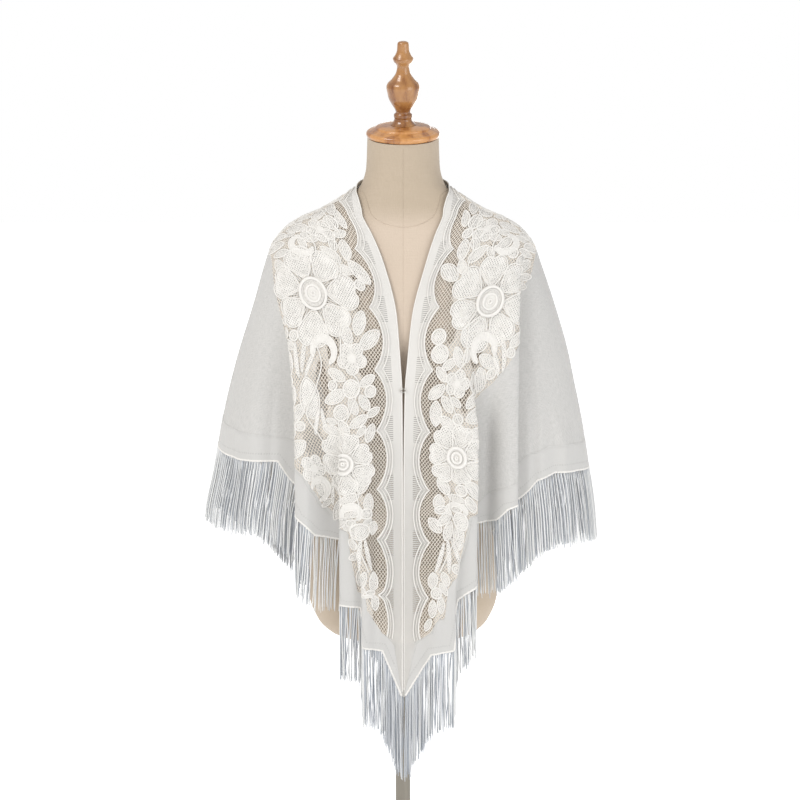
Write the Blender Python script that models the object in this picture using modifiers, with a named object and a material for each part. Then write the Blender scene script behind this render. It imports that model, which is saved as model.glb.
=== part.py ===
"""A triangular lace shawl with fringe, resting on a limbless dress form.

Metres, +Z up, the wearer's front towards -Y. The origin is the centre of the base's underside.
"left" and "right" are the viewer's, seen from the front: left is -X.
"""

import math

import bmesh
import bpy
import numpy as np

# ---------------------------------------------------------------- driving dimensions

# The flat shawl: a triangle, its long edge round the neck and down both fronts.
WALL = 0.0012
SEAM = 0.0003
BAND_WIDTH = 0.022
LACE_WIDTH = 0.200
HEM_BORDER = 0.050
BRAID_WIDTH = 0.005
TIP_FRACTION = 0.010

# Fringe.
STRAND_PITCH = 0.0175
STRAND_LENGTH = 0.118
STRAND_WIDTH = 0.0020
BRAID_THICKNESS = 0.0018
BRAID_GAP = 0.0005
MITRE_LIMIT = 0.6
STEEP_THINNING = 0.65

# Mesh of the cloth: columns run along the long edge, rows run away from it.
COLUMN_STEP = 0.021
BAND_ROWS = 1
LACE_ROWS = 9
FIELD_ROWS = 10
THREAD_SAMPLES = 160
BEND_LENGTH = 0.012
TURN_BLEND = 0.25
HEM_BOW = 0.018
BOW_SCALE = 27 / 4
BOW_FULL = 0.08
ROUNDNESS = 0.15

# Panels of each half from the tip to the centre back: name, corner of the hem that the last thread reaches.
PANELS = {
    "edge_band": (("edge_band", 16),),
    "lace_border": (("lace_border_front", 14), ("lace_border_back", 16)),
    "plain_field": (("plain_field_front", 10), ("plain_field_side", 13), ("plain_field_back", 16)),
}
# Panels cut again across their threads: the upper part's name, the lower part's name.
CUT_ACROSS = {"plain_field_back": "plain_field_low_back"}

# Scallops and flowers of the border.
SCALLOP_PERIOD = 0.0925
SCALLOP_FIRST = 0.002
SCALLOP_CREST = 0.0255
SCALLOP_CUSP = 0.044
SCALLOP_POINTS = 6
SCALLOPS = 9
SCALLOP_ROUND = 0.7
CORD_RADIUS = 0.0009
CORD_LIFT = 0.0022

# Closure.
HOOK_HEIGHT = 1.0365
HOOK_PLACE = 0.005
HOOK_LIFT = 0.0020
HOOK_RADIUS = 0.0032
HOOK_WIRE = 0.0007

# Stand.
POLE_RADIUS = 0.0125
SOCKET_RADIUS = 0.045
SOCKET_HEIGHT = 0.012
BASE_RADIUS = 0.175
BASE_HEIGHT = 0.022
BASE_RIM = 0.004
NECK_FOOT = 1.361
CAP_TILT = math.radians(14)
CAP_SEAT = (0.0, -0.0165, 1.4385)

COLOURS = {
    "voile": ((0.86, 0.85, 0.83), 0.85, 0.0),
    "lace": ((0.90, 0.89, 0.87), 0.80, 0.0),
    "linen": ((0.75, 0.66, 0.53), 0.90, 0.0),
    "wood": ((0.60, 0.32, 0.13), 0.30, 0.0),
    "steel": ((0.42, 0.39, 0.35), 0.40, 1.0),
    "painted": ((0.80, 0.79, 0.76), 0.45, 0.0),
}

# ---------------------------------------------------------------- tables

# The dress form's level sections: height, half-width, reach to the front and to the back.
FORM_COLUMNS = ("z", "side", "front", "back")
FORM = (
    (1.4385, 0.0580, 0.0720, 0.0400),
    (1.3900, 0.0600, 0.0660, 0.0480),
    (1.3610, 0.0690, 0.0640, 0.0600),
    (1.3447, 0.0885, 0.0655, 0.0690),
    (1.3235, 0.1245, 0.0690, 0.0800),
    (1.3090, 0.1570, 0.0730, 0.0865),
    (1.2910, 0.1840, 0.0785, 0.0930),
    (1.2630, 0.1920, 0.0870, 0.0990),
    (1.2300, 0.1880, 0.0965, 0.1030),
    (1.1730, 0.1700, 0.1090, 0.1040),
    (1.1300, 0.1580, 0.1130, 0.1010),
    (1.0600, 0.1400, 0.1020, 0.0900),
    (0.9300, 0.1200, 0.0840, 0.0780),
    (0.8300, 0.1380, 0.0920, 0.0960),
    (0.7400, 0.1555, 0.0985, 0.1130),
    (0.6850, 0.1560, 0.0960, 0.1120),
    (0.6450, 0.1420, 0.0860, 0.1000),
    (0.6230, 0.1200, 0.0720, 0.0830),
    (0.6130, 0.0950, 0.0560, 0.0640),
)

# The shawl's level sections, clear of the form: height, reach to each side, to the front and to the back.
DRAPE_COLUMNS = ("z", "left", "right", "front", "back")
DRAPE = (
    (1.4200, 0.0640, 0.0640, 0.0760, 0.0470),
    (1.3900, 0.0665, 0.0665, 0.0720, 0.0550),
    (1.3610, 0.0750, 0.0745, 0.0700, 0.0655),
    (1.3447, 0.0970, 0.0965, 0.0730, 0.0755),
    (1.3235, 0.1320, 0.1300, 0.0745, 0.0855),
    (1.3090, 0.1655, 0.1635, 0.0785, 0.0920),
    (1.2910, 0.1935, 0.1930, 0.0840, 0.0985),
    (1.2630, 0.2150, 0.2150, 0.0925, 0.1045),
    (1.2300, 0.2270, 0.2270, 0.1015, 0.1080),
    (1.1730, 0.2435, 0.2465, 0.1140, 0.1095),
    (1.0900, 0.2690, 0.2700, 0.1200, 0.1130),
    (1.0400, 0.2825, 0.2800, 0.1230, 0.1160),
    (0.9665, 0.2995, 0.2960, 0.1270, 0.1210),
    (0.9000, 0.3110, 0.3070, 0.1300, 0.1260),
    (0.8200, 0.3270, 0.3180, 0.1330, 0.1320),
    (0.6100, 0.3400, 0.3300, 0.1380, 0.1450),
    (0.4000, 0.3400, 0.3300, 0.1400, 0.1500),
)

# The long edge: face it runs on, reach from the centre on each half, height.
EDGE_COLUMNS = ("face", "left", "right", "z")
EDGE = (
    ("front", 0.0010, 0.0010, 0.5390),
    ("front", 0.0010, 0.0010, 0.7000),
    ("front", 0.0010, 0.0012, 0.8800),
    ("front", 0.0020, 0.0035, 1.0365),
    ("front", 0.0040, 0.0062, 1.0800),
    ("front", 0.0100, 0.0140, 1.1550),
    ("front", 0.0270, 0.0325, 1.2260),
    ("front", 0.0520, 0.0530, 1.2877),
    ("front", 0.0720, 0.0700, 1.3420),
    ("back", 0.0690, 0.0690, 1.3680),
    ("back", 0.0400, 0.0400, 1.3760),
    ("back", 0.0003, 0.0003, 1.3780),
)

# The hem, from the front tip to the back point, with its steps at the pleats.
HEM_COLUMNS = ("face", "x", "z")
HEM = {
    "left": (
        ("front", 0.0010, 0.5390),
        ("front", 0.0330, 0.6200),
        ("front", 0.0600, 0.6270),
        ("front", 0.0720, 0.6900),
        ("front", 0.0960, 0.6930),
        ("front", 0.1050, 0.7950),
        ("front", 0.1410, 0.8040),
        ("front", 0.1620, 0.8350),
        ("front", 0.1740, 0.8740),
        ("front", 0.2040, 0.9200),
        ("front", 0.2690, 0.9210),
        ("back", 0.3020, 0.9420),
        ("back", 0.2850, 0.9350),
        ("back", 0.2350, 0.8850),
        ("back", 0.1600, 0.7900),
        ("back", 0.0700, 0.6750),
        ("back", 0.0003, 0.6150),
    ),
    "right": (
        ("front", 0.0010, 0.5390),
        ("front", 0.0446, 0.6140),
        ("front", 0.0760, 0.6210),
        ("front", 0.0910, 0.7020),
        ("front", 0.1120, 0.7260),
        ("front", 0.1210, 0.8200),
        ("front", 0.1510, 0.8270),
        ("front", 0.1670, 0.8460),
        ("front", 0.1900, 0.8600),
        ("front", 0.2187, 0.8888),
        ("front", 0.2480, 0.9000),
        ("back", 0.3030, 0.8990),
        ("back", 0.2850, 0.8930),
        ("back", 0.2350, 0.8550),
        ("back", 0.1600, 0.7750),
        ("back", 0.0700, 0.6720),
        ("back", 0.0003, 0.6150),
    ),
}

# Where the threads that start square to the long edge pass over the shoulder: fraction of the edge from
# the tip, place round the section (0 front, 0.5 side, 1 back) and height.
TURN_COLUMNS = ("fraction", "round", "z")
TURN = (
    (0.35, 0.250, 0.860),
    (0.50, 0.310, 1.000),
    (0.60, 0.370, 1.105),
    (0.70, 0.440, 1.195),
    (0.79, 0.580, 1.225),
    (0.885, 0.780, 1.200),
    (1.00, 0.998, 1.185),
)

# Pleats whose crest overhangs the valley outside it: half, reach from the centre at the top and at the
# bottom, heights where the pleat starts and is full, width of the drop, depth, overhang.
PLEAT_COLUMNS = ("half", "x_top", "x_low", "z_top", "z_full", "width", "depth", "lean")
PLEATS = (
    ("left", 0.092, 0.064, 0.900, 0.700, 0.0080, 0.022, 0.0025),
    ("left", 0.100, 0.098, 1.020, 0.840, 0.0090, 0.034, 0.0045),
    ("left", 0.198, 0.168, 1.250, 0.980, 0.0100, 0.034, 0.0045),
    ("right", 0.104, 0.082, 0.880, 0.700, 0.0080, 0.024, 0.0030),
    ("right", 0.106, 0.114, 1.110, 0.930, 0.0090, 0.038, 0.0045),
    ("right", 0.184, 0.170, 1.270, 1.050, 0.0100, 0.024, 0.0040),
)

# Soft folds: half, face, reach from the centre at the top and at the bottom, heights where it starts and
# is full, half-width, height (below zero for a trough).
FOLD_COLUMNS = ("half", "face", "x_top", "x_low", "z_top", "z_full", "width", "height")
FOLDS = (
    ("left", "front", 0.225, 0.240, 1.180, 0.960, 0.020, 0.007),
    ("left", "front", 0.085, 0.060, 1.120, 0.950, 0.022, 0.006),
    ("left", "front", 0.140, 0.130, 1.100, 0.900, 0.016, -0.007),
    ("right", "front", 0.215, 0.245, 1.200, 0.950, 0.022, -0.006),
    ("right", "front", 0.060, 0.050, 1.080, 0.900, 0.018, 0.006),
    ("right", "front", 0.145, 0.140, 1.080, 0.920, 0.012, -0.008),
    ("left", "back", 0.240, 0.265, 1.150, 0.950, 0.020, 0.010),
    ("left", "back", 0.170, 0.195, 1.150, 0.900, 0.024, 0.016),
    ("left", "back", 0.110, 0.120, 1.100, 0.850, 0.022, 0.013),
    ("left", "back", 0.045, 0.050, 1.120, 0.800, 0.020, 0.016),
    ("right", "back", 0.235, 0.260, 1.180, 0.950, 0.022, 0.012),
    ("right", "back", 0.175, 0.190, 1.120, 0.900, 0.020, 0.014),
    ("right", "back", 0.100, 0.115, 1.140, 0.850, 0.024, 0.015),
    ("right", "back", 0.040, 0.048, 1.080, 0.780, 0.018, 0.012),
)

# The bust: reach from the centre, height, half-width, half-height above and below, fullness.
BUST_X = 0.082
BUST_Z = 1.125
BUST_WIDTH = 0.055
BUST_ABOVE = 0.060
BUST_BELOW = 0.050
BUST_BELOW_CLOTH = 0.220
BUST_FULLNESS = 0.018

# Large flowers: half, distance along the edge from the centre back, distance from the edge, outer radius.
FLOWER_COLUMNS = ("half", "along", "away", "radius")
FLOWERS = (
    ("left", 0.355, 0.128, 0.062),
    ("left", 0.607, 0.076, 0.024),
    ("right", 0.372, 0.112, 0.054),
    ("right", 0.590, 0.080, 0.030),
)
PETALS = 6
PETAL_POINTS = 5
PETAL_NOTCH = 0.42
CENTRE_RATIO = 0.30
CENTRE_POINTS = 10

# The finial's outline: height above its foot, radius.
FINIAL = (
    (0.0000, 0.0208), (0.0040, 0.0166), (0.0075, 0.0145), (0.0099, 0.0140), (0.0132, 0.0150),
    (0.0165, 0.0149), (0.0198, 0.0119), (0.0247, 0.0132), (0.0330, 0.0182), (0.0429, 0.0234),
    (0.0511, 0.0252), (0.0610, 0.0269), (0.0660, 0.0256), (0.0742, 0.0182), (0.0842, 0.0116),
    (0.0940, 0.0096), (0.0973, 0.0107), (0.1022, 0.0149), (0.1072, 0.0165), (0.1122, 0.0132),
    (0.1204, 0.0099), (0.1312, 0.0091), (0.1347, 0.0050),
)

# The neck cap's outline: height above its seat, radius.
NECK_CAP = (
    (0.0000, 0.0560), (0.0030, 0.0592), (0.0070, 0.0597), (0.0105, 0.0560), (0.0140, 0.0462),
    (0.0152, 0.0446), (0.0168, 0.0440), (0.0188, 0.0380), (0.0200, 0.0240),
)

SIGN = {"left": -1.0, "right": 1.0}
HALVES = ("left", "right")

# A pleat fades out this many widths from its drop; a lean of 1 moves its crest by this much.
PLEAT_REACH = 7
LEAN_SCALE = 1.65
SMALL_TURN = 0.001
READING_STEPS = 400


# ---------------------------------------------------------------- table reading

def column(rows, columns, name):
    """One named column of a table as an array."""
    place = columns.index(name)
    return np.array([row[place] for row in rows], dtype=float)


def smooth_curve(x, y, at):
    """A curve without overshoot through the points (x, y), x rising, read at any places."""
    step = np.diff(x)
    slope = np.diff(y) / step
    tangent = np.zeros(len(x))
    same_way = slope[:-1] * slope[1:] > 0
    weight = step[1:] + step[:-1]
    mean = np.where(same_way, 2 * slope[:-1] * slope[1:], 0.0)
    total = np.where(same_way, slope[:-1] + slope[1:], 1.0)
    tangent[1:-1] = np.where(weight > 0, mean / total, 0.0)
    tangent[0], tangent[-1] = slope[0], slope[-1]
    at = np.clip(at, x[0], x[-1])
    i = np.clip(np.searchsorted(x, at) - 1, 0, len(step) - 1)
    t = (at - x[i]) / step[i]
    rise = y[i] * (1 + 2 * t) * (1 - t) ** 2 + y[i + 1] * t ** 2 * (3 - 2 * t)
    return rise + step[i] * (tangent[i] * t * (1 - t) ** 2 - tangent[i + 1] * t ** 2 * (1 - t))


def section_size(rows, columns, name, z):
    """A section's size at height z, from a table that runs from top to bottom."""
    heights = column(rows, columns, "z")[::-1]
    sizes = column(rows, columns, name)[::-1]
    return smooth_curve(heights, sizes, z)


def eased(t):
    """0 to 1 with level ends."""
    t = np.clip(t, 0.0, 1.0)
    return t * t * (3 - 2 * t)


# ---------------------------------------------------------------- surfaces

def ring(side, front, back, around):
    """A level section: around is 0 at the centre front, 0.5 at the side, 1 at the centre back."""
    turn = np.pi * around
    sine, cosine = np.sin(turn), np.cos(turn)
    x = side * sine * (1 + ROUNDNESS * cosine ** 2)
    y = -np.where(cosine > 0, front, back) * cosine * (1 + ROUNDNESS * sine ** 2)
    return x, y


def bust(x, z, below):
    """How far the bust stands forward."""
    rise = np.where(z > BUST_Z, BUST_ABOVE, below)
    return BUST_FULLNESS * np.exp(-((x - BUST_X) / BUST_WIDTH) ** 2 - ((z - BUST_Z) / rise) ** 2)


def form_point(around, z):
    """A point on the dress form, for x above zero."""
    side = section_size(FORM, FORM_COLUMNS, "side", z)
    front = section_size(FORM, FORM_COLUMNS, "front", z)
    back = section_size(FORM, FORM_COLUMNS, "back", z)
    x, y = ring(side, front, back, around)
    facing = np.clip(np.cos(np.pi * around), 0.0, 1.0)
    return x, y - bust(x, z, BUST_BELOW) * facing


def fold_share(z, z_top, z_full):
    """How much of a fold has formed at height z."""
    return eased((z_top - z) / (z_top - z_full))


def fold_centre(z, x_top, x_low, z_top, z_full):
    """A fold's reach from the centre at height z."""
    return x_top + (x_low - x_top) * eased((z_top - z) / (z_top - z_full))


def drape_point(half, around, z):
    """A point on the middle of the shawl's wall: pleats and folds moved out from the smooth section."""
    around, z = np.broadcast_arrays(np.asarray(around, float), np.asarray(z, float))
    side = section_size(DRAPE, DRAPE_COLUMNS, half, z)
    front = section_size(DRAPE, DRAPE_COLUMNS, "front", z)
    back = section_size(DRAPE, DRAPE_COLUMNS, "back", z)
    x, y = ring(side, front, back, around)
    ahead_x, ahead_y = ring(side, front, back, around + SMALL_TURN)
    along = np.stack([ahead_x - x, ahead_y - y])
    along = along / np.maximum(np.hypot(*along), 1e-9)
    out = np.stack([along[1], -along[0]])
    on_front = np.cos(np.pi * around) > 0
    lift = np.zeros_like(x)
    shift = np.zeros_like(x)
    for row in PLEATS:
        name, x_top, x_low, z_top, z_full, width, depth, lean = row
        if name != half:
            continue
        share = fold_share(z, z_top, z_full) * on_front
        t = (x - fold_centre(z, x_top, x_low, z_top, z_full)) / width
        lift = lift - share * depth / 2 * t / np.sqrt(1 + t * t) * np.exp(-(t / PLEAT_REACH) ** 2)
        shift = shift - share * lean * LEAN_SCALE * t * np.exp(-t * t / 2)
    for row in FOLDS:
        name, face, x_top, x_low, z_top, z_full, width, height = row
        if name != half:
            continue
        share = fold_share(z, z_top, z_full) * (on_front if face == "front" else ~on_front)
        t = (x - fold_centre(z, x_top, x_low, z_top, z_full)) / width
        lift = lift + share * height * np.exp(-t * t)
    facing = np.clip(np.cos(np.pi * around), 0.0, 1.0)
    forward = bust(x, z, BUST_BELOW_CLOTH) * facing
    px = x + out[0] * lift + along[0] * shift
    py = y + out[1] * lift + along[1] * shift - forward
    return np.stack([px * SIGN[half], py, z], axis=-1)


def around_at(half, face, x, z):
    """The place round the section that lies x from the centre, on the front or the back."""
    side = float(section_size(DRAPE, DRAPE_COLUMNS, half, z))
    places = np.linspace(0.0, 0.5, READING_STEPS)
    reach = ring(side, 1.0, 1.0, places)[0]
    place = float(np.interp(min(x, side), reach, places))
    return place if face == "front" else 1.0 - place


# ---------------------------------------------------------------- the flat shawl laid on its surface

def outward(half, around, z):
    """The direction out of the cloth, square to its surface."""
    small = 0.0015
    across = drape_point(half, around + small, z) - drape_point(half, around - small, z)
    down = drape_point(half, around, z - small) - drape_point(half, around, z + small)
    normal = np.cross(down, across) * SIGN[half]
    return normal / np.linalg.norm(normal, axis=-1, keepdims=True)


def running_length(points):
    """Length from the first point to each point of a path."""
    steps = np.linalg.norm(np.diff(points, axis=0), axis=1)
    return np.concatenate([[0.0], np.cumsum(steps)])


class Path:
    """A line on the drape through (around, z) places, read by its fraction of length."""

    SAMPLES_PER_LEG = 60

    def __init__(self, half, places, rounded):
        places = np.array(places)
        legs = np.arange(len(places))
        fine = np.linspace(0, len(places) - 1, (len(places) - 1) * self.SAMPLES_PER_LEG + 1)
        read = smooth_curve if rounded else lambda x, y, at: np.interp(at, x, y)
        self.around = read(legs, places[:, 0], fine)
        self.z = read(legs, places[:, 1], fine)
        self.length = running_length(drape_point(half, self.around, self.z))
        self.corners = self.length[::self.SAMPLES_PER_LEG] / self.length[-1]

    def at(self, fraction):
        """(around, z) at a fraction of the length."""
        reach = fraction * self.length[-1]
        return np.array([np.interp(reach, self.length, self.around), np.interp(reach, self.length, self.z)])


class Thread:
    """The thread that runs square from the long edge to the hem, read by distance from the edge."""

    def __init__(self, half, fraction):
        self.half = half.name
        start, end = half.edge.at(fraction), half.hem.at(fraction)
        share = column(TURN, TURN_COLUMNS, "fraction")
        turn = np.array([np.interp(fraction, share, column(TURN, TURN_COLUMNS, n)) for n in ("round", "z")])
        pull = eased((fraction - TURN[0][0]) / TURN_BLEND)
        middle = pull * turn + (1 - pull) * (start + end) / 2
        control = 2 * middle - (start + end) / 2
        t = np.linspace(0.0, 1.0, THREAD_SAMPLES)[:, None]
        places = (1 - t) ** 2 * start + 2 * t * (1 - t) * control + t ** 2 * end
        self.around = np.clip(places[:, 0], 0.0, 1.0)
        bow = HEM_BOW * eased(fraction / BOW_FULL) * BOW_SCALE
        self.z = places[:, 1] + bow * t[:, 0] ** 2 * (1 - t[:, 0])
        self.points = drape_point(self.half, self.around, self.z)
        self.length = running_length(self.points)
        self.end = self.length[-1]

    def rows(self, first, last, count):
        """Distances from first to last, closer together where the cloth turns sharply."""
        run = np.diff(self.points, axis=0)
        run = run / np.maximum(np.linalg.norm(run, axis=1, keepdims=True), 1e-9)
        turning = np.arccos(np.clip((run[:-1] * run[1:]).sum(axis=1), -1.0, 1.0))
        effort = self.length + BEND_LENGTH * np.concatenate([[0.0, 0.0], np.cumsum(turning)])
        ends = np.interp([first, last], self.length, effort)
        return np.interp(np.linspace(ends[0], ends[1], count + 1), effort, self.length)

    def at(self, distance):
        """Points and outward directions at distances from the edge."""
        around = np.interp(distance, self.length, self.around)
        z = np.interp(distance, self.length, self.z)
        return drape_point(self.half, around, z), outward(self.half, around, z)


class Half:
    """One half of the shawl: from the front tip (fraction 0) to the centre back (fraction 1)."""

    def __init__(self, name):
        self.name = name
        edge = [(around_at(name, row[0], row[1 + HALVES.index(name)], row[3]), row[3]) for row in EDGE]
        hem = [(around_at(name, face, x, z), z) for face, x, z in HEM[name]]
        self.edge = Path(name, edge, rounded=True)
        self.hem = Path(name, hem, rounded=False)
        corners = [TIP_FRACTION] + [c for c in self.hem.corners if c > TIP_FRACTION + COLUMN_STEP / 4]
        self.fractions = [TIP_FRACTION]
        for low, high in zip(corners, corners[1:]):
            steps = max(1, round((high - low) / COLUMN_STEP))
            self.fractions += list(np.linspace(low, high, steps + 1)[1:])
        self.threads = [Thread(self, fraction) for fraction in self.fractions]

    def raised(self, along, away, lift):
        """A point of the flat shawl, along from the centre back and away from the edge, moved out."""
        thread = Thread(self, 1.0 - along / self.edge.length[-1])
        point, normal = thread.at(away)
        return point + normal * lift


# ---------------------------------------------------------------- Blender helpers

def clear_scene():
    """Remove every object, mesh and curve of the file."""
    for item in list(bpy.data.objects):
        bpy.data.objects.remove(item, do_unlink=True)
    for item in list(bpy.data.meshes):
        bpy.data.meshes.remove(item)
    for item in list(bpy.data.curves):
        bpy.data.curves.remove(item)


def make_material(name):
    """A Principled material for one kind of surface."""
    colour, roughness, metallic = COLOURS[name]
    material = bpy.data.materials.new(name)
    material.use_nodes = True
    shader = material.node_tree.nodes["Principled BSDF"]
    shader.inputs["Base Color"].default_value = (*colour, 1.0)
    shader.inputs["Roughness"].default_value = roughness
    shader.inputs["Metallic"].default_value = metallic
    return material


def add_object(name, data, material, collection):
    """Link new data to the part's collection under the node's name."""
    made = bpy.data.objects.new(name, data)
    data.materials.append(material)
    collection.objects.link(made)
    return made


def mesh_data(name, mesh):
    """A bmesh as mesh data, its faces pointing out, smooth but for its hard edges."""
    bmesh.ops.recalc_face_normals(mesh, faces=mesh.faces)
    data = bpy.data.meshes.new(name)
    mesh.to_mesh(data)
    mesh.free()
    data.shade_smooth()
    data.set_sharp_from_angle(angle=math.radians(50))
    return data


def wall_mesh(name, rows):
    """A closed wall through rows of (points, normals), half its thickness on each side."""
    mesh = bmesh.new()
    layers = []
    for offset in (WALL / 2, -WALL / 2):
        sides = [points + normals * offset for points, normals in rows]
        layers.append([[mesh.verts.new(tuple(point)) for point in side] for side in sides])
    for layer in layers:
        for low, high in zip(layer, layer[1:]):
            for a, b, c, d in zip(low, low[1:], high[1:], high):
                mesh.faces.new((a, b, c, d))
    outer, inner = layers
    rims = [
        (outer[0], inner[0]),
        (outer[-1], inner[-1]),
        ([row[0] for row in outer], [row[0] for row in inner]),
        ([row[-1] for row in outer], [row[-1] for row in inner]),
    ]
    for top, low in rims:
        for a, b, c, d in zip(top, top[1:], low[1:], low):
            mesh.faces.new((a, b, c, d))
    return mesh_data(name, mesh)


def turned(name, profile, segments, material, collection):
    """A turned piece: a profile of (height, radius) rows, closed on the axis."""
    mesh = bmesh.new()
    points = [(0.0, profile[-1][0])] + [(r, h) for h, r in reversed(profile)] + [(0.0, profile[0][0])]
    verts = [mesh.verts.new((r, 0.0, h)) for r, h in points]
    for a, b in zip(verts, verts[1:]):
        mesh.edges.new((a, b))
    data = bpy.data.meshes.new(name)
    mesh.to_mesh(data)
    mesh.free()
    made = add_object(name, data, material, collection)
    screw = made.modifiers.new("turn", "SCREW")
    screw.axis = "Z"
    screw.steps = screw.render_steps = segments
    screw.use_merge_vertices = True
    screw.merge_threshold = 0.0001
    screw.use_smooth_shade = True
    return made


def cord(name, points, closed, radius, material, collection):
    """A thin tube along a path."""
    curve = bpy.data.curves.new(name, "CURVE")
    curve.dimensions = "3D"
    curve.bevel_depth = radius
    curve.bevel_resolution = 0
    curve.use_fill_caps = not closed
    spline = curve.splines.new("POLY")
    spline.points.add(len(points) - 1)
    for point, place in zip(spline.points, points):
        point.co = (*place, 1.0)
    spline.use_cyclic_u = closed
    return add_object(name, curve, material, collection)


# ---------------------------------------------------------------- the shawl

def piece_limits(field):
    """Where band, lace and field end on a thread of this length."""
    band = min(BAND_WIDTH, 0.4 * field)
    lace = min(LACE_WIDTH, max(field - HEM_BORDER, band + 0.4 * (field - band)))
    return band, lace, field


def parted(rows, place, neighbour):
    """One of the rows, moved towards its neighbour by half a seam."""
    points, normals = rows[place]
    towards = rows[neighbour][0] - points
    towards = towards / np.linalg.norm(towards, axis=1, keepdims=True)
    return points + towards * SEAM / 2, normals


def cut_across(rows, place):
    """Rows cut at one of their points: the upper and the lower parts, a seam apart."""
    upper, lower = [], []
    for points, normals in rows:
        towards = points[place + 1] - points[place]
        half_seam = towards / np.linalg.norm(towards) * SEAM / 2
        upper.append((np.vstack([points[:place], points[place] - half_seam]), normals[:place + 1]))
        lower.append((np.vstack([points[place] + half_seam, points[place + 1:]]), normals[place:]))
    return upper, lower


def build_cloth(half, materials, collection):
    """Edge band, lace border and plain field of one half, seam by seam and panel by panel."""
    pieces = {"edge_band": [], "lace_border": [], "plain_field": []}
    for thread in half.threads:
        band, lace, field = piece_limits(thread.end)
        pieces["edge_band"].append(thread.at(thread.rows(0.0, band - SEAM / 2, BAND_ROWS)))
        pieces["lace_border"].append(thread.at(thread.rows(band + SEAM / 2, lace - SEAM / 2, LACE_ROWS)))
        pieces["plain_field"].append(thread.at(thread.rows(lace + SEAM / 2, field, FIELD_ROWS)))
    for kind, rows in pieces.items():
        finish = materials["voile" if kind == "plain_field" else "lace"]
        first = 0
        for panel, corner in PANELS[kind]:
            last = half.fractions.index(half.hem.corners[corner])
            panel_rows = rows[first:last + 1]
            if first > 0:
                panel_rows[0] = parted(rows, first, first + 1)
            if last < len(rows) - 1:
                panel_rows[-1] = parted(rows, last, last - 1)
            parts = {panel: panel_rows}
            if panel in CUT_ACROSS:
                parts = dict(zip((panel, CUT_ACROSS[panel]), cut_across(panel_rows, FIELD_ROWS // 2)))
            for part, part_rows in parts.items():
                name = f"{part}_{half.name}"
                add_object(name, wall_mesh(name, part_rows), finish, collection)
            first = last


def scallop_away(along):
    """Distance of the scalloped line from the long edge."""
    phase = ((along - SCALLOP_FIRST) / SCALLOP_PERIOD) % 1.0
    return SCALLOP_CUSP - (SCALLOP_CUSP - SCALLOP_CREST) * math.sin(math.pi * phase) ** SCALLOP_ROUND


def build_scallops(half, material, collection):
    """The raised line of scallops between the band and the net."""
    count = SCALLOPS * SCALLOP_POINTS
    start = SCALLOP_FIRST
    path = []
    for i in range(count + 1):
        along = start + SCALLOP_PERIOD * i / SCALLOP_POINTS
        path.append(half.raised(along, scallop_away(along), CORD_LIFT))
    cord(f"scallop_cord_{half.name}", path, False, CORD_RADIUS, material, collection)


def petal_radius(turn):
    """The flower's outline: rounded petals with notches between."""
    return 1.0 - PETAL_NOTCH * (1.0 - abs(math.sin(turn * PETALS / 2)))


def build_flowers(halves, material, collection):
    """The outlines of the large flowers and of their centres."""
    names = {"left": 0, "right": 0}
    for half_name, along, away, radius in FLOWERS:
        half = halves[half_name]
        names[half_name] += 1
        label = f"{half_name}_{names[half_name]}"
        outline = []
        for i in range(PETALS * PETAL_POINTS):
            turn = 2 * math.pi * i / (PETALS * PETAL_POINTS)
            reach = radius * petal_radius(turn)
            outline.append(half.raised(
                along + reach * math.cos(turn), away + reach * math.sin(turn), CORD_LIFT))
        cord(f"flower_{label}", outline, True, CORD_RADIUS, material, collection)
        centre = []
        for i in range(CENTRE_POINTS):
            turn = 2 * math.pi * i / CENTRE_POINTS
            reach = radius * CENTRE_RATIO
            centre.append(half.raised(
                along + reach * math.cos(turn), away + reach * math.sin(turn), CORD_LIFT))
        cord(f"flower_centre_{label}", centre, True, CORD_RADIUS, material, collection)


def strand_stations(half):
    """Where the braid is cut: (column, share of the way to the next column, whether a strand starts here)."""
    stations = []
    hem_length = half.hem.length[-1]
    for i, (low, high) in enumerate(zip(half.fractions, half.fractions[1:])):
        run = (high - low) * hem_length
        rise = abs(half.hem.at(high)[1] - half.hem.at(low)[1])
        strands = max(1, round((run - STEEP_THINNING * rise) / STRAND_PITCH))
        root = min(STRAND_WIDTH / run, 0.5 / strands)
        for k in range(strands):
            middle = (k + 0.5) / strands
            stations += [(i, middle - root / 2, True), (i, middle + root / 2, False)]
        stations.append((i, 1.0, False))
    return [(0, 0.0, False)] + stations


def braid_sections(half):
    """The braid's four corners at each column, square to the hem and parted from it by the seam."""
    hem, normals = (np.array(part) for part in zip(*(thread.at(thread.end) for thread in half.threads)))
    runs = np.diff(hem, axis=0)
    runs = runs / np.linalg.norm(runs, axis=1, keepdims=True)
    sections = []
    for i, (point, normal) in enumerate(zip(hem, normals)):
        before, after = runs[max(i - 1, 0)], runs[min(i, len(runs) - 1)]
        along = (before + after) / np.linalg.norm(before + after)
        down = np.cross(along, normal) * SIGN[half.name]
        down = down / np.linalg.norm(down) / max(MITRE_LIMIT, float(along @ after))
        out = normal * BRAID_THICKNESS / 2
        top, low = point + down * BRAID_GAP, point + down * (BRAID_GAP + BRAID_WIDTH)
        sections.append(np.array([top + out, low + out, low - out, top - out]))
    return sections


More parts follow.
